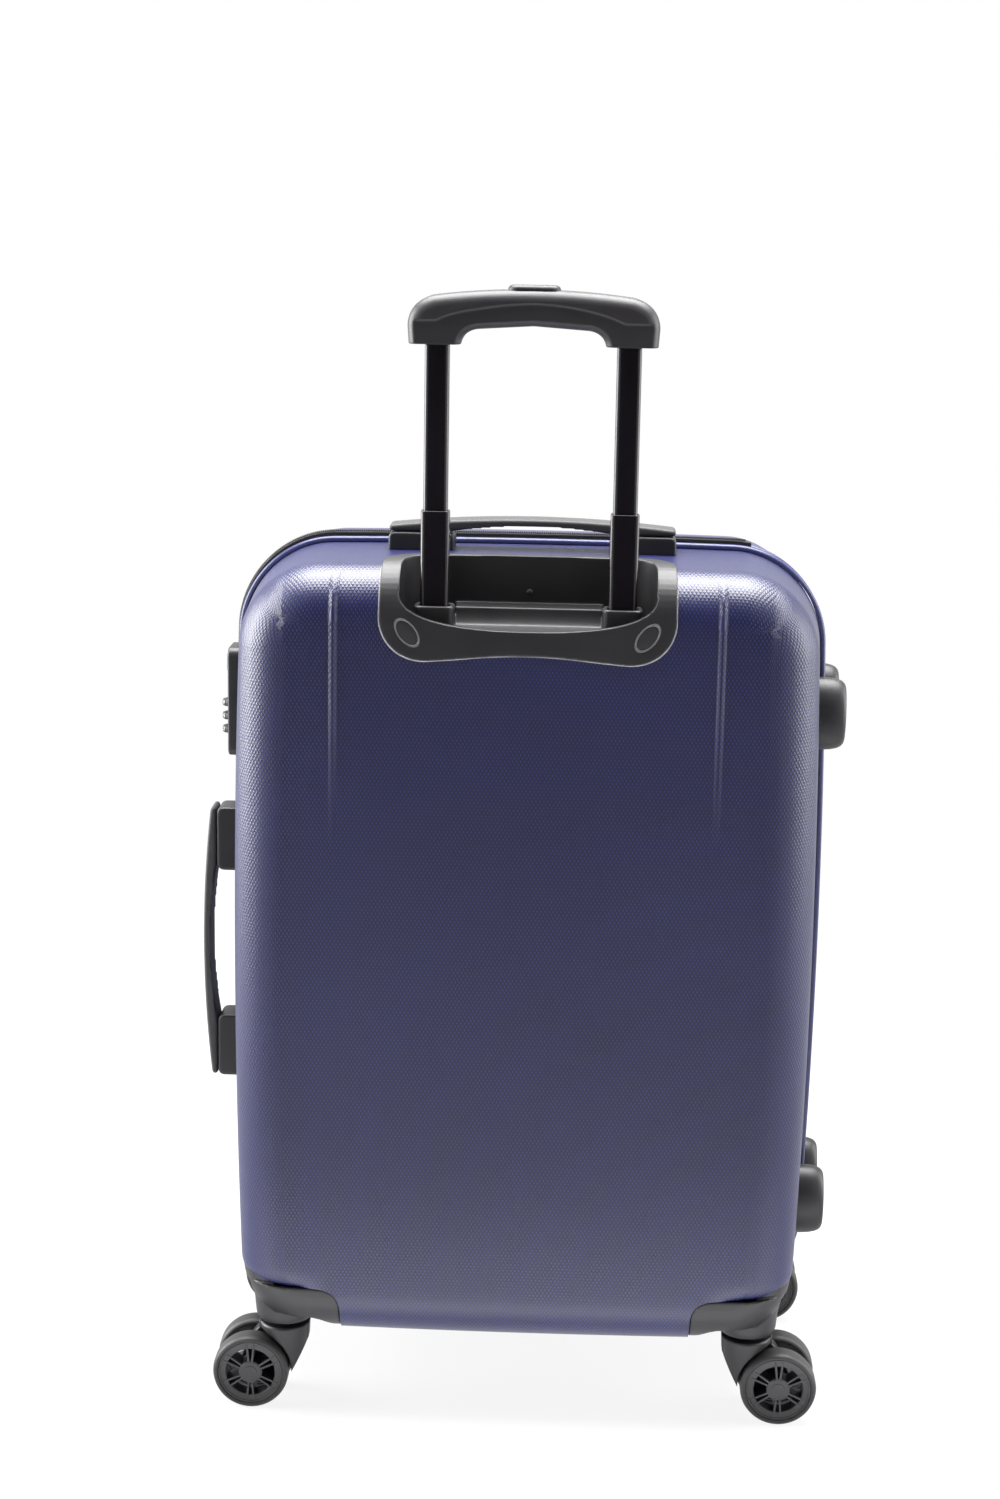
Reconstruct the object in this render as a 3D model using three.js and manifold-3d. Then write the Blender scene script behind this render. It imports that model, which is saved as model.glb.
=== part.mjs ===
// A hard shell suitcase that stands upright on four twin-wheel casters, in millimetres, +Z up.
// The origin is on the floor under the middle of the seam. The rear half, which carries the pull-out
// handle, faces -Y and the front half faces +Y. The zip runs along the left (-X), the top and the
// bottom, and the two halves are hinged along the right side (+X).
import * as THREE from "three";
import { mergeVertices } from "three/addons/utils/BufferGeometryUtils.js";
import Module from "manifold-3d";

const wasm = await Module();
wasm.setup();

// ---------------------------------------------------------------- driving dimensions
const gap = 0.3; // clearance between pieces that seat on each other

const wheel = { radius: 28.5, sides: 24, width: 17, inner: 7, bore: 3.3, axle: 3, windows: 6 };

const shell = {
  halfWidth: 217.3, // at the seam
  top: 642.5,
  bottom: 2 * wheel.radius + 2,
  depth: 131, // of each half, from the seam to its flat face
  wall: 2.5,
  topCorner: 66,
  bottomCorner: 58,
  fillet: 38, // between the sides and the flat face
  sideDraft: 8,
  endDraft: 3,
  sideBow: 6.5, // how far the sides curve in towards the corners
  endBow: 3,
};
const piping = { proud: 3.5, width: 6 };
const zip = { width: 3.5, sideProud: 5, topProud: 7.5, inside: 2, end: 160 }; // stops at X = end

const tubes = { x: 65.6, y: 19 - shell.depth, wall: 1.2, corner: 2.5, slide: 0.3 }; // slide: running clearance
const stowTravel = { lower: 65.5, upper: 113 }; // how far each stage still slides in
const upperTube = { width: 17, depth: 11, top: shell.top + 163.5 };
const lowerTube = { top: shell.top + 35.5 };
const fixedTube = { wall: 1.4, bottom: 100, floorGap: 2 };
const footBar = { halfWidth: 84, height: 10, inside: 2 }; // inside: how far past the tubes it comes

const recess = {
  backY: 46 - shell.depth,
  lipY: 4 - shell.depth,
  wall: 2.5,
  floor: shell.top - 45.5,
  halfWidth: 89,
  backHalfWidth: 74,
};
const ledge = { halfWidth: 50, reach: 18, below: 3 }; // a curved step at the back of the recess
const topHandle = { y: -30, seat: shell.top + 9.5 };
const bezel = { proud: 1.5, topProud: 5, frontY: topHandle.y - 20, halfWidth: 103, bottom: shell.top - 67.5 };
const collar = { width: 28, depth: 21, height: 26, top: shell.top - 30.5, lip: 5 };

const screwCap = { radius: 6.5, stretch: 1.8, x: 83.3, z: shell.top - 47.7, depth: 5, tilt: 0.9 };

const grip = {
  bottom: upperTube.top - 14,
  top: upperTube.top + 23.6,
  halfWidth: 86,
  legInner: 49,
  thickness: 26,
  bevel: 4,
};
const gripSlot = { halfWidth: 72, depth: 10, bottom: upperTube.top + 0.6, top: upperTube.top + 12 };
const releaseButton = { halfLength: 18, width: 14, top: grip.top + 3, seat: grip.top - 6.6 };
const yoke = {
  halfWidth: 70,
  width: 6,
  bottom: gripSlot.bottom + 5.1,
  top: gripSlot.bottom + 9.1,
  rodRadius: 2,
  rodBottom: 420,
};
const buttonSpring = { radius: 3, wire: 0.45, turns: 3 };

const carryHandle = {
  halfSpan: 104,
  innerEnd: 56,
  bracketWidth: 26,
  bracketHeight: 22,
  strapWidth: 24,
  strapThickness: 5.6,
  rise: 6,
  legLength: 9,
};
const sideHandle = { y: -35, z: 342.5, seat: -shell.halfWidth - 12 };

const lining = { thickness: 1.5, behindTubes: 3, dividerY: 14 };
const lock = {
  back: 14.3 - shell.halfWidth,
  face: -shell.halfWidth - 4.2,
  y: -25,
  width: 34,
  bottom: 484,
  top: 565,
};
const dials = { count: 3, radius: 8, width: 5, pitch: 10, axisX: lock.face + 2, first: 502, rod: 1.5 };
const lockButton = { halfLength: 7, width: 16, depth: 12, z: 553, proud: 1.5 };
const zipSlider = { length: 12, width: 10, height: 4.8, tab: 1.5, tabLength: 9, upperZ: 541, lowerZ: 521 };

const foot = { length: 56, width: 36, reach: shell.halfWidth + 14.2, y: 30, heights: [525, 147] };

const caster = { x: shell.halfWidth - 43.8, y: shell.depth - 41, trail: 23.5 };
const housing = {
  innerX: caster.x - 44.5,
  innerY: caster.y - 40,
  top: shell.bottom + 45,
  round: 18,
  proud: 2,
  inside: 1.5,
};
const fork = { radius: 18.5, top: 2 * wheel.radius + 5.3, plate: 3.8, leg: 12, stem: 5, stemHeight: 21.7 };
const pedestal = { radius: 21, bottom: fork.top + 3.7 };
const pocket = { radius: 42, ceiling: pedestal.bottom + 12, round: 8, plate: 4 };
const wheelWindow = { low: 0.3 * wheel.radius, high: wheel.radius * 2 / 3, narrow: 0.2, wide: 0.34 };
const bearingGap = 0.4; // between the swivel stem and its pedestal

// ---------------------------------------------------------------- solids
const CORNER_STEPS = 6;
const LONG_STEPS = 4;
const SHORT_STEPS = 2;
const FILLET_STEPS = 4;
const ROUND = 16; // sides of a small cylinder

// A closed three.js geometry as a solid that can be joined and cut.
function solid(geometry) {
  const bare = new THREE.BufferGeometry();
  bare.setAttribute("position", geometry.getAttribute("position").clone());
  if (geometry.index) bare.setIndex(geometry.index.clone());
  const merged = mergeVertices(bare, 1e-4);
  const { Manifold, Mesh } = wasm;
  const vertProperties = merged.attributes.position.array;
  const triVerts = new Uint32Array(merged.index.array);
  return new Manifold(new Mesh({ numProp: 3, vertProperties, triVerts }));
}

function geometryOf(body) {
  const mesh = body.getMesh();
  return new THREE.BufferGeometry()
    .setAttribute("position", new THREE.BufferAttribute(mesh.vertProperties, 3))
    .setIndex(new THREE.BufferAttribute(mesh.triVerts, 1));
}

const joined = (...bodies) => bodies.reduce((a, b) => a.add(b));
const cut = (body, ...tools) => tools.reduce((a, b) => a.subtract(b), body);
const common = (...bodies) => bodies.reduce((a, b) => a.intersect(b));

function box([x0, x1], [y0, y1], [z0, z1]) {
  const made = new THREE.BoxGeometry(x1 - x0, y1 - y0, z1 - z0);
  return solid(made.translate((x0 + x1) / 2, (y0 + y1) / 2, (z0 + z1) / 2));
}

// A box from its middle, for what is laid out about a centre line.
const block = (x, y, z, width, depth, height) =>
  box([x - width / 2, x + width / 2], [y - depth / 2, y + depth / 2], [z - height / 2, z + height / 2]);

const PRISM_AXES = {
  x: new THREE.Matrix4().makeBasis(
    new THREE.Vector3(0, 1, 0),
    new THREE.Vector3(0, 0, 1),
    new THREE.Vector3(1, 0, 0),
  ),
  y: new THREE.Matrix4().makeBasis(
    new THREE.Vector3(-1, 0, 0),
    new THREE.Vector3(0, 0, 1),
    new THREE.Vector3(0, 1, 0),
  ),
  z: new THREE.Matrix4(),
};

// An outline swept from one level to another along an axis. Along x the outline is (y, z), along y
// it is (-x, z) and along z it is (x, y).
function prism(axis, shape, from, to, curveSegments = 6) {
  const made = new THREE.ExtrudeGeometry(shape, { depth: to - from, bevelEnabled: false, curveSegments });
  return solid(made.translate(0, 0, from).applyMatrix4(PRISM_AXES[axis]));
}

const polygon = (points) => new THREE.Shape(points.map(([a, b]) => new THREE.Vector2(a, b)));

function roundedRectangle(width, height, radius, x = 0, y = 0) {
  const [w, h, r] = [width / 2 - radius, height / 2 - radius, radius];
  const shape = new THREE.Shape();
  shape.absarc(x + w, y + h, r, 0, Math.PI / 2);
  shape.absarc(x - w, y + h, r, Math.PI / 2, Math.PI);
  shape.absarc(x - w, y - h, r, Math.PI, Math.PI * 1.5);
  shape.absarc(x + w, y - h, r, Math.PI * 1.5, Math.PI * 2);
  return shape;
}

function cylinder(axis, radius, [a, b], [from, to], sides = ROUND) {
  const points = Array.from({ length: sides }, (_, i) => {
    const turn = ((i + 0.5) / sides) * Math.PI * 2;
    return [a + radius * Math.cos(turn), b + radius * Math.sin(turn)];
  });
  return prism(axis, polygon(points), from, to);
}

// A closed skin through rings of equally many points, capped at both ends.
function loft(rings) {
  const count = rings[0].length;
  const points = rings.flat();
  const faces = [];
  for (let r = 0; r + 1 < rings.length; r++)
    for (let i = 0; i < count; i++) {
      const [a, b] = [r * count + i, r * count + ((i + 1) % count)];
      faces.push(a, b, b + count, a, b + count, a + count);
    }
  const cap = (ring, first, flip) => {
    const middle = points.length;
    points.push(ring.reduce((sum, p) => sum.add(p), new THREE.Vector3()).divideScalar(count));
    for (let i = 0; i < count; i++) {
      const edge = [first + i, first + ((i + 1) % count)];
      faces.push(middle, ...(flip ? edge.reverse() : edge));
    }
  };
  cap(rings[0], 0, true);
  cap(rings.at(-1), (rings.length - 1) * count, false);
  const volume = faces.reduce((sum, _, i) => {
    if (i % 3) return sum;
    const [a, b, c] = [points[faces[i]], points[faces[i + 1]], points[faces[i + 2]]];
    return sum + a.dot(new THREE.Vector3().crossVectors(b, c));
  }, 0);
  const made = new THREE.BufferGeometry().setFromPoints(points);
  return solid(made.setIndex(volume < 0 ? faces.reverse() : faces));
}

// ---------------------------------------------------------------- the shape of the case
const middleZ = (shell.top + shell.bottom) / 2;
const halfHeight = (shell.top - shell.bottom) / 2;

// The case's bow: its sides curve in towards the corners.
function bowed(x, z) {
  const u = x / shell.halfWidth;
  const v = (z - middleZ) / halfHeight;
  return [x * (1 - (shell.sideBow / shell.halfWidth) * v * v), z - shell.endBow * v * u * u];
}

// The case's outline at a distance y from the seam, moved in by `side` at the sides and by `end` at
// the top and bottom.
function outline(y, side, end, trim) {
  const halfWidth = shell.halfWidth - side;
  const [top, bottom] = [shell.top - end, shell.bottom + end];
  const [topRadius, bottomRadius] = [shell.topCorner - trim, shell.bottomCorner - trim];
  const corners = [
    [halfWidth - topRadius, top - topRadius, topRadius, SHORT_STEPS],
    [topRadius - halfWidth, top - topRadius, topRadius, LONG_STEPS],
    [bottomRadius - halfWidth, bottom + bottomRadius, bottomRadius, SHORT_STEPS],
    [halfWidth - bottomRadius, bottom + bottomRadius, bottomRadius, LONG_STEPS],
  ];
  const at = ([x, z, r], turn) => [x + r * Math.cos(turn), z + r * Math.sin(turn)];
  return corners.flatMap((corner, i) => {
    const start = (i * Math.PI) / 2;
    const arc = Array.from({ length: CORNER_STEPS + 1 }, (_, k) =>
      at(corner, start + (k / CORNER_STEPS) * (Math.PI / 2)),
    );
    const [x0, z0] = arc.at(-1);
    const [x1, z1] = at(corners[(i + 1) % 4], start + Math.PI / 2);
    const steps = corner[3];
    const run = Array.from({ length: steps - 1 }, (_, k) => {
      const share = (k + 1) / steps;
      return [x0 + (x1 - x0) * share, z0 + (z1 - z0) * share];
    });
    return [...arc, ...run].map(([x, z]) => {
      const [bx, bz] = bowed(x, z);
      return new THREE.Vector3(bx, y, bz);
    });
  });
}

// Half of the case as a solid block, grown by `grow` all round, from a distance `from` off the seam
// to its flat face. side is -1 for the rear half and +1 for the front half.
function caseBlock(side, grow, from) {
  const straight = shell.depth - shell.fillet;
  const radius = shell.fillet + grow;
  const ring = (distance, inwards) => {
    const share = Math.min(distance / straight, 1);
    const [sideIn, endIn] = [shell.sideDraft * share + inwards, shell.endDraft * share + inwards];
    return outline(side * distance, sideIn, endIn, sideIn);
  };
  const round = Array.from({ length: FILLET_STEPS }, (_, k) => {
    const turn = ((k + 1) / FILLET_STEPS) * (Math.PI / 2);
    return ring(straight + radius * Math.sin(turn), radius * (1 - Math.cos(turn)) - grow);
  });
  return loft([ring(from, -grow), ring(straight, -grow), ...round]);
}

// A band round the case, between two distances from the seam and two amounts proud of the shell.
function band(side, [from, to], [sideInner, topInner], [sideOuter, topOuter]) {
  const layer = (proudSide, proudTop, near, far) =>
    loft([near, far].map((y) => outline(side * y, -proudSide, -proudTop, -proudSide)));
  return cut(layer(sideOuter, topOuter, from, to), layer(sideInner, topInner, from - 1, to + 1));
}

const FAR = 1000;
const seamEdge = zip.width + 2 * gap; // where each shell's rim starts
const shellSkin = (side) => caseBlock(side, gap, -1); // what lies on the shell is cut back to this

// ---------------------------------------------------------------- materials
const material = (color, roughness, metalness = 0) =>
  new THREE.MeshStandardMaterial({ color, roughness, metalness });
const shellBlue = material("#2b2f63", 0.42);
const pipingBlue = material("#3b3f78", 0.35);
const darkPlastic = material("#2c2b2e", 0.5);
const gripPlastic = material("#3a383b", 0.5);
const handleRubber = material("#343335", 0.65);
const zipFabric = material("#141416", 0.9);
const liningFabric = material("#3c3c42", 0.95);
const blackAluminium = material("#17161a", 0.3, 0.6);
const steel = material("#8c8c90", 0.35, 1);
const zipMetal = material("#2a2a2e", 0.4, 0.8);
const tyreRubber = material("#2a292b", 0.75);

const suitcase = new THREE.Group();

function piece(name, body, look, group = suitcase) {
  const mesh = new THREE.Mesh(geometryOf(body), look);
  mesh.name = name;
  group.add(mesh);
}

const halves = [
  { name: "rear", side: -1 },
  { name: "front", side: 1 },
];
const hands = [
  { name: "left", sign: -1 },
  { name: "right", sign: 1 },
];

// ---------------------------------------------------------------- corner housings
// The space of one corner housing, with its two free edges and its top edge moved out by `grow`.
function cornerRegion(signX, side, grow) {
  const { top, round, innerX, innerY } = housing;
  const profile = (inner, sign) => {
    const shape = new THREE.Shape();
    shape.moveTo(sign * (inner - grow), 0);
    shape.lineTo(sign * (inner - grow), top - round);
    shape.quadraticCurveTo(sign * (inner - grow), top + grow, sign * (inner + round), top + grow);
    shape.lineTo(sign * FAR, top + grow);
    shape.lineTo(sign * FAR, 0);
    return shape;
  };
  return common(prism("y", profile(innerX, -signX), -FAR, FAR), prism("x", profile(innerY, side), -FAR, FAR));
}

function swivelPocket(signX, side) {
  const { radius, ceiling, round } = pocket;
  const profile = [
    [0, 0],
    [radius, 0],
    [radius, ceiling - round],
    [radius - round * 0.3, ceiling - round * 0.3],
    [radius - round, ceiling],
    [0, ceiling],
  ].map(([r, z]) => new THREE.Vector2(r, z));
  const made = new THREE.LatheGeometry(profile, 24).rotateX(Math.PI / 2);
  return solid(made.translate(signX * caster.x, side * caster.y, 0));
}

function cornerHousing(signX, side) {
  const centre = [signX * caster.x, side * caster.y];
  const skin = common(caseBlock(side, housing.proud, seamEdge), cornerRegion(signX, side, 0));
  const hollow = common(
    caseBlock(side, -housing.inside, seamEdge),
    box([-FAR, FAR], [-FAR, FAR], [pocket.ceiling + pocket.plate, FAR]),
  );
  const post = cylinder("z", pedestal.radius, centre, [pedestal.bottom, pocket.ceiling + 1], 24);
  const bore = cylinder("z", fork.stem + bearingGap, centre, [0, FAR]);
  return cut(joined(cut(skin, swivelPocket(signX, side), hollow), post), bore);
}

// ---------------------------------------------------------------- trolley recess
// The opening of the recess as seen from behind: a smile-shaped lower lip that opens upwards.
function recessMouth() {
  const half = recess.halfWidth;
  const rim = shell.top - 4;
  const shape = new THREE.Shape();
  shape.moveTo(-half, FAR);
  shape.lineTo(-half, rim);
  shape.bezierCurveTo(-half, rim - 22, -62, recess.floor, 0, recess.floor);
  shape.bezierCurveTo(62, recess.floor, half, rim - 22, half, rim);
  shape.lineTo(half, FAR);
  return prism("y", shape, -FAR, recess.lipY + 1);
}

// The tray behind the lip, from a level y = front to its back wall, grown by `grow`: seen from above
// it is narrower at the back.
function recessTray(grow, front) {
  const [half, back] = [recess.halfWidth + grow, recess.backHalfWidth + grow];
  const backY = recess.backY + grow;
  const shape = new THREE.Shape();
  shape.moveTo(-half, front);
  shape.lineTo(-half, tubes.y);
  shape.quadraticCurveTo(-half, backY, -back + 8, backY);
  shape.lineTo(back - 8, backY);
  shape.quadraticCurveTo(half, backY, half, tubes.y);
  shape.lineTo(half, front);
  return prism("z", shape, recess.floor - grow, FAR);
}

const recessHole = recessTray(recess.wall + gap, -FAR); // what the recess takes out of the shell

function bezelFront() {
  const { halfWidth, bottom } = bezel;
  const shape = new THREE.Shape();
  shape.moveTo(-halfWidth + 3, FAR);
  shape.lineTo(-halfWidth, shell.top - 6);
  shape.lineTo(-halfWidth, bottom + 28);
  shape.bezierCurveTo(-halfWidth + 2, bottom + 10, -halfWidth + 16, bottom, -halfWidth + 32, bottom);
  shape.bezierCurveTo(-40, bottom + 2, -30, bottom + 5, 0, bottom + 5);
  shape.bezierCurveTo(30, bottom + 5, 40, bottom + 2, halfWidth - 32, bottom);
  shape.bezierCurveTo(halfWidth - 16, bottom, halfWidth - 2, bottom + 10, halfWidth, bottom + 28);
  shape.lineTo(halfWidth, shell.top - 6);
  shape.lineTo(halfWidth - 3, FAR);
  return prism("y", shape, -FAR, bezel.frontY);
}

const tubeShape = (width, depth, x, grow = 0) =>
  roundedRectangle(width + 2 * grow, depth + 2 * grow, tubes.corner + grow, x, tubes.y);
const tubePrism = (shape, from, to) => prism("z", shape, from, to, 1);

const lowerSize = [
  upperTube.width + 2 * (tubes.slide + tubes.wall),
  upperTube.depth + 2 * (tubes.slide + tubes.wall),
];
const fixedSize = lowerSize.map((size) => size + 2 * (tubes.slide + fixedTube.wall));

function trolleyHousing() {
  const raised = caseBlock(-1, bezel.proud, seamEdge).translate([0, 0, bezel.topProud - bezel.proud]);
  const outer = common(raised, bezelFront());
  const flange = cut(outer, shellSkin(-1));
  const step = new THREE.Shape();
  step.moveTo(-ledge.halfWidth, recess.backY + 1);
  step.lineTo(ledge.halfWidth, recess.backY + 1);
  step.quadraticCurveTo(0, recess.backY - 2 * ledge.reach, -ledge.halfWidth, recess.backY + 1);
  const shelf = prism("z", step, recess.floor - 1, collar.top - ledge.below);
  const cup = common(raised, recessTray(recess.wall, -FAR));
  const rings = hands.map(({ sign }) => {
    const x = sign * tubes.x;
    const ring = block(x, tubes.y, 0, collar.width, collar.depth, 2 * collar.top);
    return common(ring, box([-FAR, FAR], [-FAR, FAR], [collar.top - collar.height, FAR]));
  });
  const bores = hands.flatMap(({ sign }) => {
    const x = sign * tubes.x;
    return [
      tubePrism(tubeShape(...fixedSize, x, gap), 0, collar.top - collar.lip),
      tubePrism(tubeShape(...lowerSize, x, gap), 0, FAR),
    ];
  });
  const tray = cut(joined(flange, cup), recessTray(0, recess.lipY), recessMouth());
  return cut(joined(tray, shelf, ...rings), ...bores);
}

// ---------------------------------------------------------------- the two halves
const lockBody = { y: [lock.y - lock.width / 2, lock.y + lock.width / 2], z: [lock.bottom, lock.top] };
const lockHole = box(
  [-FAR, lock.back + gap],
  lockBody.y.map((y, i) => y + (i ? gap : -gap)),
  lockBody.z.map((z, i) => z + (i ? gap : -gap)),
);
const keepZip = box([-FAR, zip.end], [-FAR, FAR], [-FAR, FAR]);
const keepHinge = box([zip.end + gap, FAR], [-FAR, FAR], [-FAR, FAR]);

for (const { name, side } of halves) {
  const corners = hands.map(({ sign }) => cornerRegion(sign, side, gap));
  const walls = cut(caseBlock(side, 0, seamEdge), caseBlock(side, -shell.wall, -1), ...corners);
  const openings = side < 0 ? [recessHole, lockHole] : [];
  piece(`${name}_shell`, cut(walls, ...openings), shellBlue);

  const edge = [seamEdge, seamEdge + piping.width];
  const rim = band(side, edge, [gap, gap], [piping.proud, piping.proud]);
  piece(`${name}_piping`, side < 0 ? cut(rim, lockHole) : rim, pipingBlue);

  const tape = band(side, [gap / 2, gap / 2 + zip.width], [-zip.inside, -zip.inside], [
    zip.sideProud,
    zip.topProud,
  ]);
  piece(`${name}_zip_tape`, common(tape, keepZip), zipFabric);

  for (const { name: hand, sign } of hands)
    piece(`${name}_${hand}_corner_housing`, cornerHousing(sign, side), darkPlastic);
}

const hingeBand = band(1, [-zip.width, zip.width], [-zip.inside, -zip.inside], [1, 1]);
piece("hinge_strip", common(hingeBand, keepHinge), zipFabric);

// A fabric panel that fits inside one half, between two distances from the seam.
function liningPanel(side, from, to) {
  const inside = caseBlock(side, -shell.wall - gap, seamEdge);
  const slab = box([-FAR, FAR], [Math.min(side * from, side * to), Math.max(side * from, side * to)], [0, FAR]);
  const corners = hands.map(({ sign }) => cornerRegion(sign, side, gap));
  return cut(common(inside, slab), ...corners);
}

const liningDepth = Math.abs(tubes.y) - fixedSize[1] / 2 - lining.behindTubes;
const rearPanel = liningPanel(-1, liningDepth - lining.thickness, liningDepth);
piece("rear_lining", cut(rearPanel, recessHole), liningFabric);
piece("front_divider", liningPanel(1, lining.dividerY, lining.dividerY + lining.thickness), liningFabric);

// ---------------------------------------------------------------- telescopic handle
// The two oval screw covers, let into the bezel.
function screwCover(sign, grow) {
  const { radius, stretch, x, z, depth, tilt } = screwCap;
  const made = new THREE.CylinderGeometry(radius + grow, radius + grow, depth + 2 * grow, 20);
  made.scale(stretch, 1, 1).rotateY(-sign * tilt);
  return solid(made.translate(sign * x, -shell.depth - bezel.proud, z));
}
for (const { name, sign } of hands) {
  const cover = common(screwCover(sign, 0), caseBlock(-1, bezel.proud - gap, seamEdge));
  piece(`screw_cover_${name}`, cut(cover, shellSkin(-1)), gripPlastic);
}
piece("trolley_housing", cut(trolleyHousing(), screwCover(-1, gap), screwCover(1, gap)), darkPlastic);

const footSpan = [fixedTube.bottom - gap - footBar.height, fixedTube.bottom - gap];
const footSlab = box(
  [-footBar.halfWidth, footBar.halfWidth],
  [-FAR, tubes.y + fixedSize[1] / 2 + footBar.inside],
  footSpan,
);
piece("tube_foot", common(footSlab, caseBlock(-1, -shell.wall - gap, seamEdge)), darkPlastic);

function tube([width, depth], wall, x, from, to) {
  const shape = tubeShape(width, depth, x);
  shape.holes.push(tubeShape(width, depth, x, -wall));
  return tubePrism(shape, from, to);
}

const lowerBottom = fixedTube.bottom + fixedTube.floorGap + stowTravel.lower;
const upperBottom = lowerBottom + stowTravel.upper;
for (const { name, sign } of hands) {
  const x = sign * tubes.x;
  const fixedTop = collar.top - collar.lip - gap;
  piece(`fixed_tube_${name}`, tube(fixedSize, fixedTube.wall, x, fixedTube.bottom, fixedTop), steel);
  piece(`lower_tube_${name}`, tube(lowerSize, tubes.wall, x, lowerBottom, lowerTube.top), blackAluminium);
  const upperSize = [upperTube.width, upperTube.depth];
  piece(`upper_tube_${name}`, tube(upperSize, tubes.wall, x, upperBottom, upperTube.top), blackAluminium);
}

function gripBody() {
  const { bottom, top, halfWidth, legInner, thickness, bevel } = grip;
  const shape = new THREE.Shape();
  const [w, inner, low] = [halfWidth - bevel, legInner + bevel, bottom + bevel];
  shape.moveTo(-w + 1.5, low);
  shape.lineTo(-w, low + 10);
  shape.quadraticCurveTo(-w + 1, top - bevel - 7.5, -w + 18, top - bevel - 4);
  shape.quadraticCurveTo(-36, top - bevel, 0, top - bevel);
  shape.quadraticCurveTo(36, top - bevel, w - 18, top - bevel - 4);
  shape.quadraticCurveTo(w - 1, top - bevel - 7.5, w, low + 10);
  shape.lineTo(w - 1.5, low);
  shape.lineTo(inner, low);
  shape.quadraticCurveTo(inner - 1, low + 9, inner - 12, low + 11);
  shape.quadraticCurveTo(0, low + 13.5, 12 - inner, low + 11);
  shape.quadraticCurveTo(1 - inner, low + 9, -inner, low);
  const made = new THREE.ExtrudeGeometry(shape, {
    depth: thickness - 2 * bevel,
    bevelThickness: bevel,
    bevelSize: bevel,
    bevelSegments: 3,
    curveSegments: 5,
  });
  made.rotateX(Math.PI / 2).translate(0, tubes.y + thickness / 2 - bevel, 0);
  const sockets = hands.map(({ sign }) =>
    tubePrism(tubeShape(upperTube.width, upperTube.depth, sign * tubes.x, gap), 0, gripSlot.bottom),
  );
  const slot = box(
    [-gripSlot.halfWidth, gripSlot.halfWidth],
    [tubes.y - gripSlot.depth / 2, tubes.y + gripSlot.depth / 2],
    [gripSlot.bottom - 0.1, gripSlot.top],
  );
  const mouth = buttonShape(gap, gripSlot.top - 1, FAR);
  return cut(solid(made), ...sockets, slot, mouth);
}

function buttonShape(grow, from, to) {
  const { halfLength, width } = releaseButton;
  const shape = roundedRectangle(2 * (halfLength + grow), width + 2 * grow, width / 2 - 2 + grow, 0, tubes.y);
  return prism("z", shape, from, to, 3);
}

piece("grip", gripBody(), gripPlastic);

const buttonStem = block(0, tubes.y, 0, 12, gripSlot.depth - 2, 2 * releaseButton.seat + 1);
const stemAboveYoke = common(buttonStem, box([-FAR, FAR], [-FAR, FAR], [yoke.top + gap, FAR]));
const buttonCap = buttonShape(0, releaseButton.seat, releaseButton.top);
piece("release_button", joined(buttonCap, stemAboveYoke), darkPlastic);

const yokeMiddle = (yoke.bottom + yoke.top) / 2;
const yokeBar = block(0, tubes.y, yokeMiddle, 2 * yoke.halfWidth, yoke.width, yoke.top - yoke.bottom);
const rods = hands.map(({ sign }) =>
  cylinder("z", yoke.rodRadius, [sign * tubes.x, tubes.y], [yoke.rodBottom, yoke.top - 1], 8),
);
piece("release_yoke", joined(yokeBar, ...rods), steel);

class Helix extends THREE.Curve {
  getPoint(t) {
    const turn = t * buttonSpring.turns * Math.PI * 2;
    const [low, high] = [gripSlot.bottom + gap + buttonSpring.wire, yoke.bottom - gap - buttonSpring.wire];
    return new THREE.Vector3(
      buttonSpring.radius * Math.cos(turn),
      tubes.y + buttonSpring.radius * Math.sin(turn),
      low + (high - low) * t,
    );
  }
}
const wireShape = polygon(
  Array.from({ length: 5 }, (_, i) => [
    buttonSpring.wire * Math.cos((i / 5) * Math.PI * 2),
    buttonSpring.wire * Math.sin((i / 5) * Math.PI * 2),
  ]),
);
const springCoil = new THREE.ExtrudeGeometry(wireShape, {
  steps: buttonSpring.turns * 10,
  extrudePath: new Helix(),
});
piece("button_spring", solid(springCoil), steel);

// ---------------------------------------------------------------- carry handles
// A handle lies along its own x axis and lifts along its own z axis, from the level of its seat.
function handleBracket(sign) {
  const { halfSpan, innerEnd, bracketWidth, bracketHeight } = carryHandle;
  const shape = new THREE.Shape();
  shape.moveTo(innerEnd, -bracketHeight);
  shape.lineTo(innerEnd, -6);
  shape.quadraticCurveTo(innerEnd, 0, innerEnd + 6, 0);
  shape.lineTo(halfSpan - 4, 0);
  shape.quadraticCurveTo(halfSpan, 0, halfSpan, -4);
  shape.lineTo(halfSpan, -bracketHeight);
  const made = new THREE.ExtrudeGeometry(shape, {
    depth: bracketWidth - 4,
    bevelSize: 1.5,
    bevelOffset: -1.5,
    bevelThickness: 2,
    bevelSegments: 1,
    curveSegments: 3,
  });
  made.rotateX(Math.PI / 2).translate(0, bracketWidth / 2 - 2, 0);
  if (sign < 0) made.rotateZ(Math.PI);
  return cut(solid(made), handleLegs(0.4).find((leg) => leg.sign === sign).body);
}

function handleLegs(grow) {
  const { halfSpan, innerEnd, legLength } = carryHandle;
  const middle = (halfSpan + innerEnd) / 2;
  return hands.map(({ sign }) => ({
    sign,
    body: block(sign * middle, 0, 0, 24 + 2 * grow, 14 + 2 * grow, 2 * (legLength + grow)),
  }));
}

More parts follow.
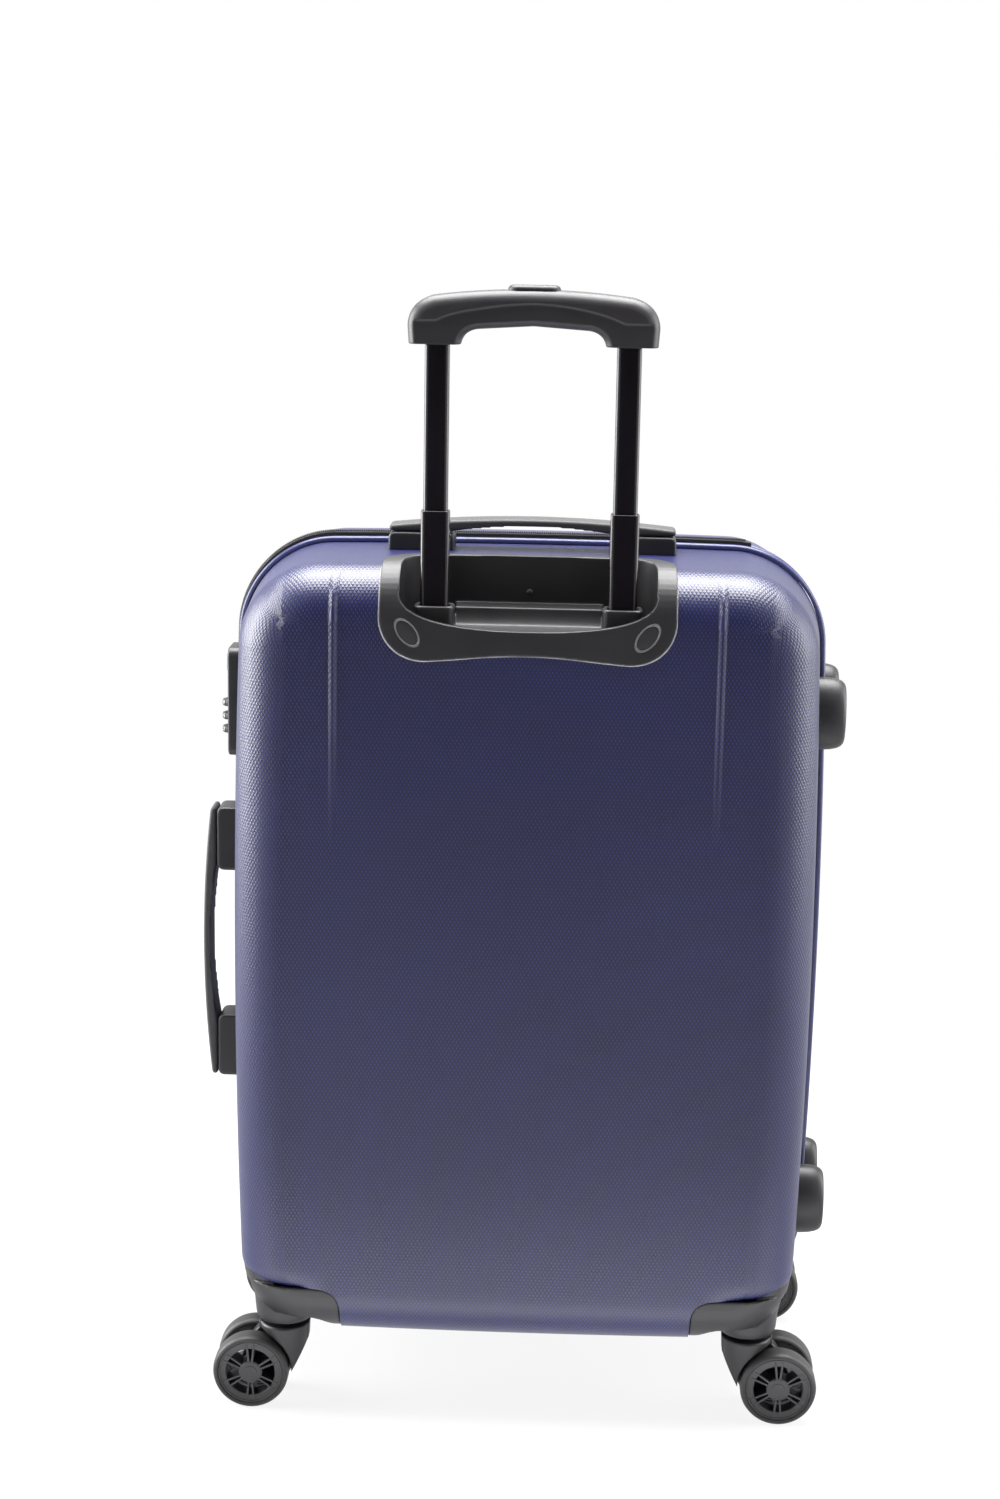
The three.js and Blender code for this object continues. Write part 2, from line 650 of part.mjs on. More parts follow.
function handleStrap() {
  const { halfSpan, strapWidth, strapThickness, rise } = carryHandle;
  const base = gap;
  const shape = new THREE.Shape();
  shape.moveTo(-halfSpan + 1, base + 1);
  shape.lineTo(-halfSpan + 3, base + strapThickness);
  shape.quadraticCurveTo(-50, base + strapThickness + rise, 0, base + strapThickness + rise);
  shape.quadraticCurveTo(50, base + strapThickness + rise, halfSpan - 3, base + strapThickness);
  shape.lineTo(halfSpan - 1, base + 1);
  shape.lineTo(halfSpan - 4, base);
  shape.lineTo(carryHandle.innerEnd + 4, base);
  shape.quadraticCurveTo(30, base + rise, 0, base + rise);
  shape.quadraticCurveTo(-30, base + rise, -carryHandle.innerEnd - 4, base);
  shape.lineTo(-halfSpan + 4, base);
  const made = new THREE.ExtrudeGeometry(shape, {
    depth: strapWidth - 4,
    bevelSize: 0.8,
    bevelOffset: -0.8,
    bevelThickness: 2,
    bevelSegments: 1,
    curveSegments: 6,
  });
  made.rotateX(Math.PI / 2).translate(0, strapWidth / 2 - 2, 0);
  const legs = handleLegs(0).map((leg) => common(leg.body, box([-FAR, FAR], [-FAR, FAR], [-FAR, base + 1.5])));
  return joined(solid(made), ...legs);
}

const turned = (body, matrix) => solid(geometryOf(body).applyMatrix4(matrix));
const handlePlaces = [
  {
    name: "top_handle",
    ends: ["left", "right"],
    place: new THREE.Matrix4().makeTranslation(0, topHandle.y, topHandle.seat),
  },
  {
    name: "side_handle",
    ends: ["lower", "upper"],
    place: new THREE.Matrix4()
      .makeTranslation(sideHandle.seat, sideHandle.y, sideHandle.z)
      .multiply(new THREE.Matrix4().makeRotationY(-Math.PI / 2)),
  },
];
for (const { name, ends, place } of handlePlaces) {
  hands.forEach(({ sign }, i) => {
    const bracket = cut(turned(handleBracket(sign), place), shellSkin(-1));
    piece(`${name}_bracket_${ends[i]}`, bracket, darkPlastic);
  });
  piece(`${name}_strap`, turned(handleStrap(), place), handleRubber);
}

// ---------------------------------------------------------------- lock and zip sliders
const lockFace = [lock.face, lock.back];
const dialLevels = Array.from({ length: dials.count }, (_, i) => dials.first + i * dials.pitch);
const dialCentre = [dials.axisX, lock.y];
const dialSlots = dialLevels.map((z) =>
  block(dials.axisX, lock.y, z, 2 * dials.radius + 1, 2 * dials.radius + 1, dials.width + 2 * gap),
);
const dialRod = cylinder("z", dials.rod, dialCentre, [dialLevels[0] - 6, dialLevels.at(-1) + 6], 8);
function buttonWell(grow) {
  const [depth, width, length] = [lockButton.depth, lockButton.width, 2 * lockButton.halfLength];
  return block(lock.face, lock.y, lockButton.z, depth + 2 * grow, width + 2 * grow, length + 2 * grow);
}

const lockSolid = box(lockFace, lockBody.y, lockBody.z);
piece("lock_body", joined(cut(lockSolid, ...dialSlots, buttonWell(gap)), dialRod), darkPlastic);
dialLevels.forEach((z, i) => {
  const levels = [z - dials.width / 2, z + dials.width / 2];
  const dial = cylinder("z", dials.radius, dialCentre, levels, 20);
  piece(`lock_dial_${i + 1}`, cut(dial, cylinder("z", dials.rod + gap, dialCentre, [0, FAR], 8)), gripPlastic);
});
const buttonReach = [lock.face - lockButton.proud, lock.face + 3];
piece("lock_button", common(buttonWell(0), box(buttonReach, [-FAR, FAR], [0, FAR])), gripPlastic);

// Each slider straddles the zip's outer edge, and its pull lies over the lock.
for (const [name, z] of [["upper", zipSlider.upperZ], ["lower", zipSlider.lowerZ]]) {
  const { length, width, height, tab, tabLength } = zipSlider;
  const inner = -bowed(shell.halfWidth + zip.sideProud, z - length / 2)[0] - 2 * gap;
  const outer = inner - height;
  const saddle = box([outer, inner], [-width / 2, width / 2], [z - length / 2, z + length / 2]);
  const pull = box([outer, outer + tab], [-width / 2 - tabLength, 0], [z - 3, z + 3]);
  piece(`zip_slider_${name}`, joined(saddle, pull), zipMetal);
}

// ---------------------------------------------------------------- side feet
for (const { name, side } of halves)
  foot.heights.forEach((z, i) => {
    const base = shell.halfWidth - shell.sideDraft;
    const dome = new THREE.SphereGeometry(1, 16, 10).rotateX(Math.PI / 2);
    dome.scale(foot.reach - base, foot.width / 2, foot.length / 2).translate(base, side * foot.y, z);
    piece(`${name}_side_foot_${i ? "lower" : "upper"}`, cut(solid(dome), shellSkin(side)), darkPlastic);
  });

// ---------------------------------------------------------------- casters
const axleZ = wheel.radius * Math.cos(Math.PI / wheel.sides); // a flat of the tyre meets the floor

function casterFork(signX, side) {
  const [x, y] = [signX * caster.x, side * caster.y];
  const axleX = x + signX * caster.trail;
  const disc = cylinder("z", fork.radius, [x, y], [fork.top - fork.plate, fork.top], 24);
  const stem = cylinder("z", fork.stem, [x, y], [fork.top - 1, fork.top + fork.stemHeight]);
  const leg = new THREE.Shape();
  leg.moveTo(-x + 14, fork.top - 1);
  leg.lineTo(-x - 14, fork.top - 1);
  leg.lineTo(-axleX - 9, axleZ - 3);
  leg.quadraticCurveTo(-axleX, axleZ - 15, -axleX + 9, axleZ - 3);
  const web = prism("y", leg, y - fork.leg / 2, y + fork.leg / 2);
  const bore = cylinder("y", wheel.bore, [-axleX, axleZ], [-FAR, FAR]);
  return cut(joined(disc, stem, web), bore);
}

function casterWheel(x, y, outwards) {
  const shape = new THREE.Shape();
  const ring = (path, radius, sides, offset) => {
    for (let i = 0; i < sides; i++) {
      const turn = ((i + offset) / sides) * Math.PI * 2;
      path[i ? "lineTo" : "moveTo"](radius * Math.cos(turn), radius * Math.sin(turn));
    }
  };
  ring(shape, wheel.radius, wheel.sides, 0.5);
  for (let i = 0; i < wheel.windows; i++) {
    const window = new THREE.Path();
    const middle = (i / wheel.windows) * Math.PI * 2;
    const { low, high, narrow, wide } = wheelWindow;
    const corner = (radius, turn) => [radius * Math.cos(middle + turn), radius * Math.sin(middle + turn)];
    window.moveTo(...corner(low, -narrow));
    window.lineTo(...corner(high, -wide));
    window.lineTo(...corner(high, wide));
    window.lineTo(...corner(low, narrow));
    shape.holes.push(window);
  }
  const near = y + outwards * wheel.inner;
  const span = [near, near + outwards * wheel.width].sort((a, b) => a - b);
  const bore = [near - outwards, near + outwards * (wheel.width - 2)].sort((a, b) => a - b);
  const centred = prism("y", shape, ...span).translate([x, 0, axleZ]);
  return cut(centred, cylinder("y", wheel.bore, [-x, axleZ], bore));
}

for (const { name, side } of halves)
  for (const { name: hand, sign } of hands) {
    const label = `${name}_${hand}`;
    const [x, y] = [sign * (caster.x + caster.trail), side * caster.y];
    const reach = wheel.inner + wheel.width - 2 - gap;
    piece(`${label}_fork`, casterFork(sign, side), darkPlastic);
    piece(`${label}_axle`, cylinder("y", wheel.axle, [-x, axleZ], [y - reach, y + reach], 12), steel);
    piece(`${label}_wheel_outer`, casterWheel(x, y, side), tyreRubber);
    piece(`${label}_wheel_inner`, casterWheel(x, y, -side), tyreRubber);
  }

export default suitcase;
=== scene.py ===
# The looks of a hard shell suitcase on wheels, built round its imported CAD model. Shapes are worked
# out in millimetres in the CAD frame (+Z up, rear half towards -Y) and written in metres.
import math

import bmesh
import bpy
import numpy as np
from mathutils import Matrix, Vector


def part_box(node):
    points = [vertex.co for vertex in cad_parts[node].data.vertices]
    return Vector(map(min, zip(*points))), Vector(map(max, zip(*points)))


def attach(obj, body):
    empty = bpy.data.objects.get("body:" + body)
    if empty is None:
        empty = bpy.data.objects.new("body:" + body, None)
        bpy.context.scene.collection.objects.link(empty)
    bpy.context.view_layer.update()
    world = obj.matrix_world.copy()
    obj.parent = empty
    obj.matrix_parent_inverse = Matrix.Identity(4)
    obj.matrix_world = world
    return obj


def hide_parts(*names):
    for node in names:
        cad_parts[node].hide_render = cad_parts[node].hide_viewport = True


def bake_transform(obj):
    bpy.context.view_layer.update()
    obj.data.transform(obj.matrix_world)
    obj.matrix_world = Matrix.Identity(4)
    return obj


MM = 0.001
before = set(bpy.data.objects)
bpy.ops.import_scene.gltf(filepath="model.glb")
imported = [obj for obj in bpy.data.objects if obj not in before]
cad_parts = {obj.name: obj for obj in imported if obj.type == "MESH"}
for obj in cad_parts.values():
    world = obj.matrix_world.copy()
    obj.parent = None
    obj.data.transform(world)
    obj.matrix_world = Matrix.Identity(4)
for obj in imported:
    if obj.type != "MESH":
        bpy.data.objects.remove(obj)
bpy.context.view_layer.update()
scene = bpy.context.scene


def box_mm(node):
    low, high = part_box(node)
    return np.array(low) / MM, np.array(high) / MM


# ---------------------------------------------------------------- sizes taken from the frame
SHELL_LOW, SHELL_HIGH = box_mm("rear_shell")
PIPING_LOW, PIPING_HIGH = box_mm("rear_piping")
TAPE_LOW, TAPE_HIGH = box_mm("rear_zip_tape")
HOUSING_LOW, HOUSING_HIGH = box_mm("trolley_housing")
GRIP_LOW, GRIP_HIGH = box_mm("grip")
BUTTON_TOP = box_mm("release_button")[1][2]
LOCK_LOW, LOCK_HIGH = box_mm("lock_body")

# The case, as in the CAD source.
HALF_WIDTH = 217.3
TOP, BOTTOM = 642.5, 59.0
DEPTH = -SHELL_LOW[1]
WALL = 2.5
GAP = 0.3
TOP_CORNER, BOTTOM_CORNER = 66.0, 58.0
FILLET = 38.0
SIDE_DRAFT, END_DRAFT = 8.0, 3.0
SIDE_BOW, END_BOW = 6.5, 3.0
STRAIGHT = DEPTH - FILLET
SEAM_EDGE = -SHELL_HIGH[1]
MIDDLE_Z, HALF_HEIGHT = (TOP + BOTTOM) / 2, (TOP - BOTTOM) / 2
TUBE_X, TUBE_Y = 65.6, -112.0
ZIP_END = TAPE_HIGH[0]
FAR = 1000.0


# ---------------------------------------------------------------- mesh tools
def new_object(name, vertices, faces, smooth_angle=40):
    mesh = bpy.data.meshes.new(name)
    mesh.from_pydata((np.asarray(vertices, float) * MM).tolist(), [], [list(map(int, f)) for f in faces])
    mesh.validate()
    made = bpy.data.objects.new(name, mesh)
    scene.collection.objects.link(made)
    shade(made, smooth_angle)
    return made


def shade(made, smooth_angle):
    mesh = made.data
    mesh.polygons.foreach_set("use_smooth", [True] * len(mesh.polygons))
    mesh.set_sharp_from_angle(angle=math.radians(smooth_angle))


def bake_modifiers(made):
    """Replaces an object's mesh by what its modifiers make of it."""
    graph = bpy.context.evaluated_depsgraph_get()
    graph.update()
    mesh = bpy.data.meshes.new_from_object(made.evaluated_get(graph))
    old = made.data
    made.modifiers.clear()
    made.data = mesh
    bpy.data.meshes.remove(old)
    return made


def modify(made, kind, **settings):
    modifier = made.modifiers.new(kind.lower(), kind)
    for key, value in settings.items():
        setattr(modifier, key, value)
    return bake_modifiers(made)


def combine(operation, first, *tools):
    for tool in tools:
        modify(first, "BOOLEAN", operation=operation, solver="MANIFOLD", object=tool)
        bpy.data.objects.remove(tool)
    return first


def cut(first, *tools):
    return combine("DIFFERENCE", first, *tools)


def common(first, *tools):
    return combine("INTERSECT", first, *tools)


def joined(first, *tools):
    return combine("UNION", first, *tools)


def merged(name, pieces, smooth_angle=40):
    """Several objects as one, without a boolean."""
    vertices, faces = [], []
    for piece in pieces:
        start = len(vertices)
        vertices += [np.array(v.co) / MM for v in piece.data.vertices]
        faces += [[start + i for i in p.vertices] for p in piece.data.polygons]
        bpy.data.objects.remove(piece)
    return new_object(name, vertices, faces, smooth_angle)


def moulded(made, voxel=0.8, rounds=6, keep=0.35, factor=0.5, smooth_angle=60):
    """Rounds every edge as a moulding has them: an even mesh, smoothed, then thinned."""
    modify(made, "REMESH", mode="VOXEL", voxel_size=voxel * MM)
    modify(made, "SMOOTH", iterations=rounds, factor=factor)
    modify(made, "DECIMATE", ratio=keep)
    shade(made, smooth_angle)
    return made


def moved(made, x=0, y=0, z=0, turn=None):
    matrix = Matrix.Translation(Vector((x, y, z)) * MM)
    if turn:
        angle, axis = turn
        matrix = matrix @ Matrix.Rotation(angle, 4, axis)
    made.data.transform(matrix)
    return made


def signed_volume(vertices, faces):
    total = 0.0
    for face in faces:
        a = vertices[face[0]]
        for i in range(1, len(face) - 1):
            total += np.dot(a, np.cross(vertices[face[i]], vertices[face[i + 1]]))
    return total


def loft(name, rings, capped=True, closed_path=False, smooth_angle=40):
    """A skin through rings of equally many points; closed_path joins the last ring to the first."""
    count = len(rings[0])
    vertices = [p for ring in rings for p in ring]
    faces = []
    for r in range(len(rings) if closed_path else len(rings) - 1):
        first, second = r * count, ((r + 1) % len(rings)) * count
        for i in range(count):
            j = (i + 1) % count
            faces.append([first + i, first + j, second + j, second + i])
    if capped and not closed_path:
        faces.append(list(range(count))[::-1])
        faces.append(list(range(len(vertices) - count, len(vertices))))
    vertices = np.array(vertices, float)
    if signed_volume(vertices, faces) < 0:
        faces = [face[::-1] for face in faces]
    return new_object(name, vertices, faces, smooth_angle)


def lathe(name, profile, axis="z", centre=(0, 0, 0), steps=64, smooth_angle=40):
    """A profile of (radius, level) pairs turned about an axis; both ends lie on the axis or close up."""
    closed = profile[0] == profile[-1]
    points = profile[:-1] if closed else profile
    turns = [2 * math.pi * k / steps for k in range(steps)]

    def place(radius, level, turn):
        a, b = radius * math.cos(turn), radius * math.sin(turn)
        local = {"z": (a, b, level), "y": (a, level, b), "x": (level, a, b)}[axis]
        return [c + d for c, d in zip(centre, local)]

    count = len(points)
    vertices = [place(r, level, turn) for turn in turns for r, level in points]
    faces = []
    for k in range(steps):
        first, second = k * count, ((k + 1) % steps) * count
        for i in range(count if closed else count - 1):
            j = (i + 1) % count
            faces.append([first + i, first + j, second + j, second + i])
    made = new_object(name, vertices, faces, smooth_angle)
    tidy(made)
    return made


def cylinder(radius, low, high, axis="z", centre=(0, 0, 0), steps=64):
    return lathe("tool", [(0, low), (radius, low), (radius, high), (0, high)], axis, centre, steps)


def open_skin(name, rows):
    """A skin through rows of equally many points, with nothing joining its edges."""
    count = len(rows[0])
    faces = []
    for r in range(len(rows) - 1):
        for i in range(count - 1):
            corner = r * count + i
            faces.append([corner, corner + 1, corner + count + 1, corner + count])
    return new_object(name, [p for row in rows for p in row], faces)


def clamped(value):
    return min(max(value, 0.0), 1.0)


def tidy(made):
    """Merges doubled points, drops flat faces and turns every face outwards."""
    work = bmesh.new()
    work.from_mesh(made.data)
    bmesh.ops.remove_doubles(work, verts=work.verts, dist=1e-6)
    bmesh.ops.dissolve_degenerate(work, edges=work.edges, dist=1e-7)
    bmesh.ops.recalc_face_normals(work, faces=work.faces)
    work.to_mesh(made.data)
    work.free()


def path(start, *steps, count=12):
    """An outline from line ends (x, y), quadratic curves (cx, cy, x, y) and cubic ones of six numbers."""
    points = [np.array(start, float)]
    for step in steps:
        p0 = points[-1]
        nodes = [p0] + [np.array(step[i : i + 2], float) for i in range(0, len(step), 2)]
        degree = len(nodes) - 1
        for k in range(1, (count if degree > 1 else 1) + 1):
            t = k / (count if degree > 1 else 1)
            weights = [math.comb(degree, i) * t**i * (1 - t) ** (degree - i) for i in range(degree + 1)]
            points.append(sum(w * n for w, n in zip(weights, nodes)))
    return points


AXES = {
    "x": lambda a, b, level: (level, a, b),
    "y": lambda a, b, level: (a, level, b),
    "z": lambda a, b, level: (a, b, level),
}


def inset(points, distance):
    """A closed outline moved inwards by a distance."""
    points = np.array(points, float)
    before, after = np.roll(points, 1, 0), np.roll(points, -1, 0)
    area = np.sum(points[:, 0] * after[:, 1] - after[:, 0] * points[:, 1])

    def normal(edge):
        turned = np.stack([-edge[:, 1], edge[:, 0]], 1)
        return turned / np.maximum(np.linalg.norm(turned, axis=1, keepdims=True), 1e-9)

    n1, n2 = normal(points - before), normal(after - points)
    middle = n1 + n2
    middle /= np.maximum(np.linalg.norm(middle, axis=1, keepdims=True), 1e-9)
    stretch = 1 / np.maximum(np.sum(middle * n1, axis=1, keepdims=True), 0.5)
    return points + middle * stretch * distance * (1 if area > 0 else -1)


def prism(name, axis, points, low, high, edge=0, steps=4, smooth_angle=40):
    """An outline swept along an axis, with its two end edges rounded by `edge`."""
    levels = [(0.0, low), (0.0, high)]
    if edge:
        turns = [math.pi / 2 * k / steps for k in range(steps + 1)]
        start = [(edge * (1 - math.sin(t)), low + edge * (1 - math.cos(t))) for t in turns]
        levels = start + [(d, high + low - level) for d, level in reversed(start)]
    rings = [[AXES[axis](a, b, level) for a, b in inset(points, d)] for d, level in levels]
    return loft(name, rings, smooth_angle=smooth_angle)


def rounded_box(name, low, high, axis="z", corner=2, edge=1, steps=5):
    others = {"x": (1, 2), "y": (0, 2), "z": (0, 1)}[axis]
    (a0, b0), (a1, b1) = [[corner_point[i] for i in others] for corner_point in (low, high)]
    along = "xyz".index(axis)
    corners = [(a1, b1, 0), (a0, b1, 1), (a0, b0, 2), (a1, b0, 3)]
    points = []
    for a, b, quarter in corners:
        ca = a - corner if a == a1 else a + corner
        cb = b - corner if b == b1 else b + corner
        for k in range(steps + 1):
            turn = (quarter + k / steps) * math.pi / 2
            points.append((ca + corner * math.cos(turn), cb + corner * math.sin(turn)))
    return prism(name, axis, points, low[along], high[along], edge)


def plain_box(low, high):
    corners = [(low[0], low[1]), (high[0], low[1]), (high[0], high[1]), (low[0], high[1])]
    return prism("tool", "z", corners, low[2], high[2])


# ---------------------------------------------------------------- the shape of the case
def bowed(x, z):
    u, v = x / HALF_WIDTH, (z - MIDDLE_Z) / HALF_HEIGHT
    return x * (1 - SIDE_BOW / HALF_WIDTH * v * v), z - END_BOW * v * u * u


def outline(y, side, end, trim, corner_steps=24, run_steps=24):
    """The case's outline at a level y, moved in by `side` and `end` and its corners by `trim`."""
    half, top, bottom = HALF_WIDTH - side, TOP - end, BOTTOM + end
    top_radius, bottom_radius = TOP_CORNER - trim, BOTTOM_CORNER - trim
    corners = [
        (half - top_radius, top - top_radius, top_radius),
        (top_radius - half, top - top_radius, top_radius),
        (bottom_radius - half, bottom + bottom_radius, bottom_radius),
        (half - bottom_radius, bottom + bottom_radius, bottom_radius),
    ]

    def at(corner, turn):
        x, z, r = corner
        return np.array([x + r * math.cos(turn), z + r * math.sin(turn)])

    points = []
    for i, corner in enumerate(corners):
        start = i * math.pi / 2
        points += [at(corner, start + k / corner_steps * math.pi / 2) for k in range(corner_steps + 1)]
        last, following = points[-1], at(corners[(i + 1) % 4], start + math.pi / 2)
        points += [last + (following - last) * k / run_steps for k in range(1, run_steps)]
    return [(bx, y, bz) for bx, bz in (bowed(*p) for p in points)]


def case_block(side, grow, start, fillet_steps=14):
    """Half of the case as a block grown by `grow`; side is -1 for the rear half and 1 for the front."""
    radius = FILLET + grow

    def ring(distance, inwards):
        share = min(distance / STRAIGHT, 1)
        side_in, end_in = SIDE_DRAFT * share + inwards, END_DRAFT * share + inwards
        return outline(side * distance, side_in, end_in, side_in)

    rings = [ring(start + (STRAIGHT - start) * k / 6, -grow) for k in range(7)]
    for k in range(1, fillet_steps + 1):
        turn = k / fillet_steps * math.pi / 2
        rings.append(ring(STRAIGHT + radius * math.sin(turn), radius * (1 - math.cos(turn)) - grow))
    return loft("block", rings)


HALVES = (("rear", -1), ("front", 1))
HANDS = (("left", -1), ("right", 1))


# ---------------------------------------------------------------- materials
class Nodes:
    """A material's node tree, with short calls for the few nodes that it needs."""

    def __init__(self, name):
        self.material = bpy.data.materials.new(name)
        self.material.use_nodes = True
        self.tree = self.material.node_tree
        self.shader = self.tree.nodes["Principled BSDF"]

    def add(self, kind, links=(), **settings):
        node = self.tree.nodes.new("ShaderNode" + kind)
        for key, value in settings.items():
            if key[0].isupper():
                node.inputs[key.replace("_", " ")].default_value = value
            else:
                setattr(node, key, value)
        for name, source in dict(links).items():
            self.tree.links.new(source, node.inputs[name])
        return node

    def math(self, operation, a, b=0.0):
        node = self.add("Math", operation=operation)
        for socket, value in zip(node.inputs, (a, b)):
            if isinstance(value, (int, float)):
                socket.default_value = value
            else:
                self.tree.links.new(value, socket)
        return node.outputs[0]

    def place(self):
        return self.add("TexCoord").outputs["Object"]

    def noise(self, scale, detail=3.0, vector=None):
        vector = vector or self.place()
        return self.add("TexNoise", {"Vector": vector}, Scale=scale, Detail=detail).outputs["Fac"]

    def ramp(self, fac, low, high, first, second):
        node = self.add("ValToRGB", {"Fac": fac})
        start, end = node.color_ramp.elements
        start.position, start.color = low, (*first, 1)
        end.position, end.color = high, (*second, 1)
        return node.outputs["Color"]

    def spread(self, fac, low, high):
        """A 0 to 1 value as one between low and high."""
        return self.add("MapRange", {"Value": fac}, To_Min=low, To_Max=high).outputs["Result"]

    def bump(self, height, strength, distance, below=None):
        links = {"Height": height}
        if below:
            links["Normal"] = below
        node = self.add("Bump", links, Strength=strength, Distance=distance * MM)
        return node.outputs["Normal"]

    def finish(self, colour=None, roughness=None, normal=None, **sockets):
        for name, source in (("Base Color", colour), ("Roughness", roughness), ("Normal", normal)):
            if source is not None:
                self.tree.links.new(source, self.shader.inputs[name])
        for key, value in sockets.items():
            self.shader.inputs[key.replace("_", " ")].default_value = value
        return self.material


def diamonds(nodes, width, height):
    """Staggered diamonds on the shell's unfolded surface: 0 in the grooves, 1 on the tips."""
    split = nodes.add("SeparateXYZ", {"Vector": nodes.add("TexCoord").outputs["UV"]})
    across = nodes.math("DIVIDE", split.outputs["X"], width * MM)
    up = nodes.math("DIVIDE", split.outputs["Y"], 2 * height * MM)
    waves = []
    for operation in ("ADD", "SUBTRACT"):
        line = nodes.math(operation, across, up)
        waves.append(nodes.math("PINGPONG", line, 0.5))
    return nodes.math("MULTIPLY", nodes.math("MINIMUM", *waves), 2.0)


def shell_material():
    nodes = Nodes("shell_blue")
    cells = diamonds(nodes, 2.8, 2.35)
    shade_of_blue = nodes.ramp(nodes.noise(6.0), 0.35, 0.65, (0.011, 0.013, 0.073), (0.0135, 0.0155, 0.085))
    # Painted light: the ramp below lightens the diamond tips as a painted highlight and darkens the grooves
    # as painted shade, multiplied into the blue's own random tone.
    tips = nodes.ramp(cells, 0.15, 0.85, (0.30, 0.30, 0.36), (1.75, 1.75, 1.65))
    blue_with_painted_light = nodes.add("Mix", data_type="RGBA", blend_type="MULTIPLY")
    blue_with_painted_light.inputs[0].default_value = 1.0
    nodes.tree.links.new(shade_of_blue, blue_with_painted_light.inputs[6])
    nodes.tree.links.new(tips, blue_with_painted_light.inputs[7])
    scuffs = nodes.noise(90.0, 6.0)
    normal = nodes.bump(cells, 0.6, 0.3)
    return nodes.finish(blue_with_painted_light.outputs[2], nodes.spread(scuffs, 0.30, 0.38), normal, IOR=1.6)


def plastic_material(name, dark, light, low, high, grain=1400.0, depth=0.05):
    """A moulded plastic with a fine spark-eroded grain."""
    nodes = Nodes(name)
    colour = nodes.ramp(nodes.noise(14.0), 0.3, 0.7, dark, light)
    roughness = nodes.spread(nodes.noise(60.0, 5.0), low, high)
    return nodes.finish(colour, roughness, nodes.bump(nodes.noise(grain, 2.0), 0.35, depth))


WAVE_SCALE = 6.3  # a woven texture then repeats about every two thread pitches


def woven_material(name, dark, light, pitch, sheen=0.3):
    nodes = Nodes(name)
    place = nodes.place()
    scale = 1 / (pitch * MM) / WAVE_SCALE
    waves = []
    for axis in ("X", "Z", "Y"):
        wave = nodes.add("TexWave", {"Vector": place}, bands_direction=axis, Scale=scale)
        waves.append(wave.outputs["Fac"])
    threads = nodes.math("MULTIPLY", nodes.math("MAXIMUM", waves[0], waves[2]), waves[1])
    colour = nodes.ramp(threads, 0.1, 0.8, dark, light)
    normal = nodes.bump(threads, 0.5, 0.2)
    return nodes.finish(colour, nodes.spread(nodes.noise(300.0), 0.8, 0.95), normal, Sheen_Weight=sheen)


def metal_material(name, colour, low, high, grain=(40.0, 40.0, 900.0), metallic=1.0, coat=0.0):
    """Brushed or drawn metal: fine lines along the way it was drawn."""
    nodes = Nodes(name)
    stretched = nodes.add("Mapping", {"Vector": nodes.place()}, Scale=grain)
    lines = nodes.noise(1.0, 4.0, stretched.outputs["Vector"])
    bright = tuple(min(1.0, c * 1.25) for c in colour)
    shades = nodes.ramp(lines, 0.3, 0.7, colour, bright)
    roughness = nodes.spread(lines, low, high)
    return nodes.finish(shades, roughness, nodes.bump(lines, 0.1, 0.02), Metallic=metallic, Coat_Weight=coat)


SHELL = shell_material()
PIPING = plastic_material(
    "piping_blue", (0.028, 0.031, 0.098), (0.032, 0.036, 0.112), 0.30, 0.38, grain=900.0, depth=0.02
)
DARK = plastic_material("dark_plastic", (0.013, 0.012, 0.014), (0.018, 0.017, 0.019), 0.36, 0.48)
GRIP = plastic_material("grip_plastic", (0.019, 0.0175, 0.020), (0.024, 0.022, 0.025), 0.38, 0.50)
RUBBER = plastic_material(
    "handle_rubber", (0.030, 0.029, 0.030), (0.038, 0.036, 0.037), 0.50, 0.64, grain=1800.0, depth=0.06
)
TYRE = plastic_material("tyre", (0.020, 0.019, 0.020), (0.030, 0.028, 0.029), 0.45, 0.6, 900.0, 0.06)
HUB = plastic_material("hub_plastic", (0.035, 0.033, 0.036), (0.045, 0.043, 0.046), 0.4, 0.5)
RING = plastic_material("ring_plastic", (0.10, 0.095, 0.10), (0.13, 0.125, 0.13), 0.30, 0.40)
# Pale plastic for the bezel's edge bead: its pale colour is a painted highlight.
RIM_PAINTED_HIGHLIGHT = plastic_material("rim_painted_highlight", (0.25, 0.25, 0.27), (0.32, 0.32, 0.34), 0.35, 0.45)
DIGITS = plastic_material("dial_digits", (0.62, 0.62, 0.62), (0.7, 0.7, 0.7), 0.5, 0.6)
ZIP_TAPE = woven_material("zip_fabric", (0.004, 0.004, 0.005), (0.012, 0.012, 0.013), 0.7, 0.15)
TEETH = plastic_material("zip_teeth", (0.010, 0.010, 0.011), (0.018, 0.018, 0.019), 0.3, 0.42)
LINING = woven_material("lining_fabric", (0.055, 0.055, 0.062), (0.10, 0.10, 0.11), 0.9, 0.3)
BLACK_TUBE = metal_material("black_aluminium", (0.006, 0.005, 0.007), 0.16, 0.24, (60.0, 60.0, 4.0), 0.0, 0.0)
STEEL = metal_material("steel", (0.42, 0.42, 0.43), 0.28, 0.4)
ZIP_METAL = metal_material("zip_metal", (0.035, 0.035, 0.038), 0.3, 0.42)


def give_material(made, material):
    made.data.materials.clear()
    made.data.materials.append(material)


def show(made, body, material, slot, *replaced):
    """Gives a finished piece its material and its body, and hides the CAD nodes that it stands for; the slot
    is not used.
    """
    give_material(made, material)
    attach(made, body)
    if replaced:
        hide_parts(*replaced)
    return made


def finish_node(node, material):
    """A CAD node whose shape is right keeps it and takes a better material."""
    give_material(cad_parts[node], material)


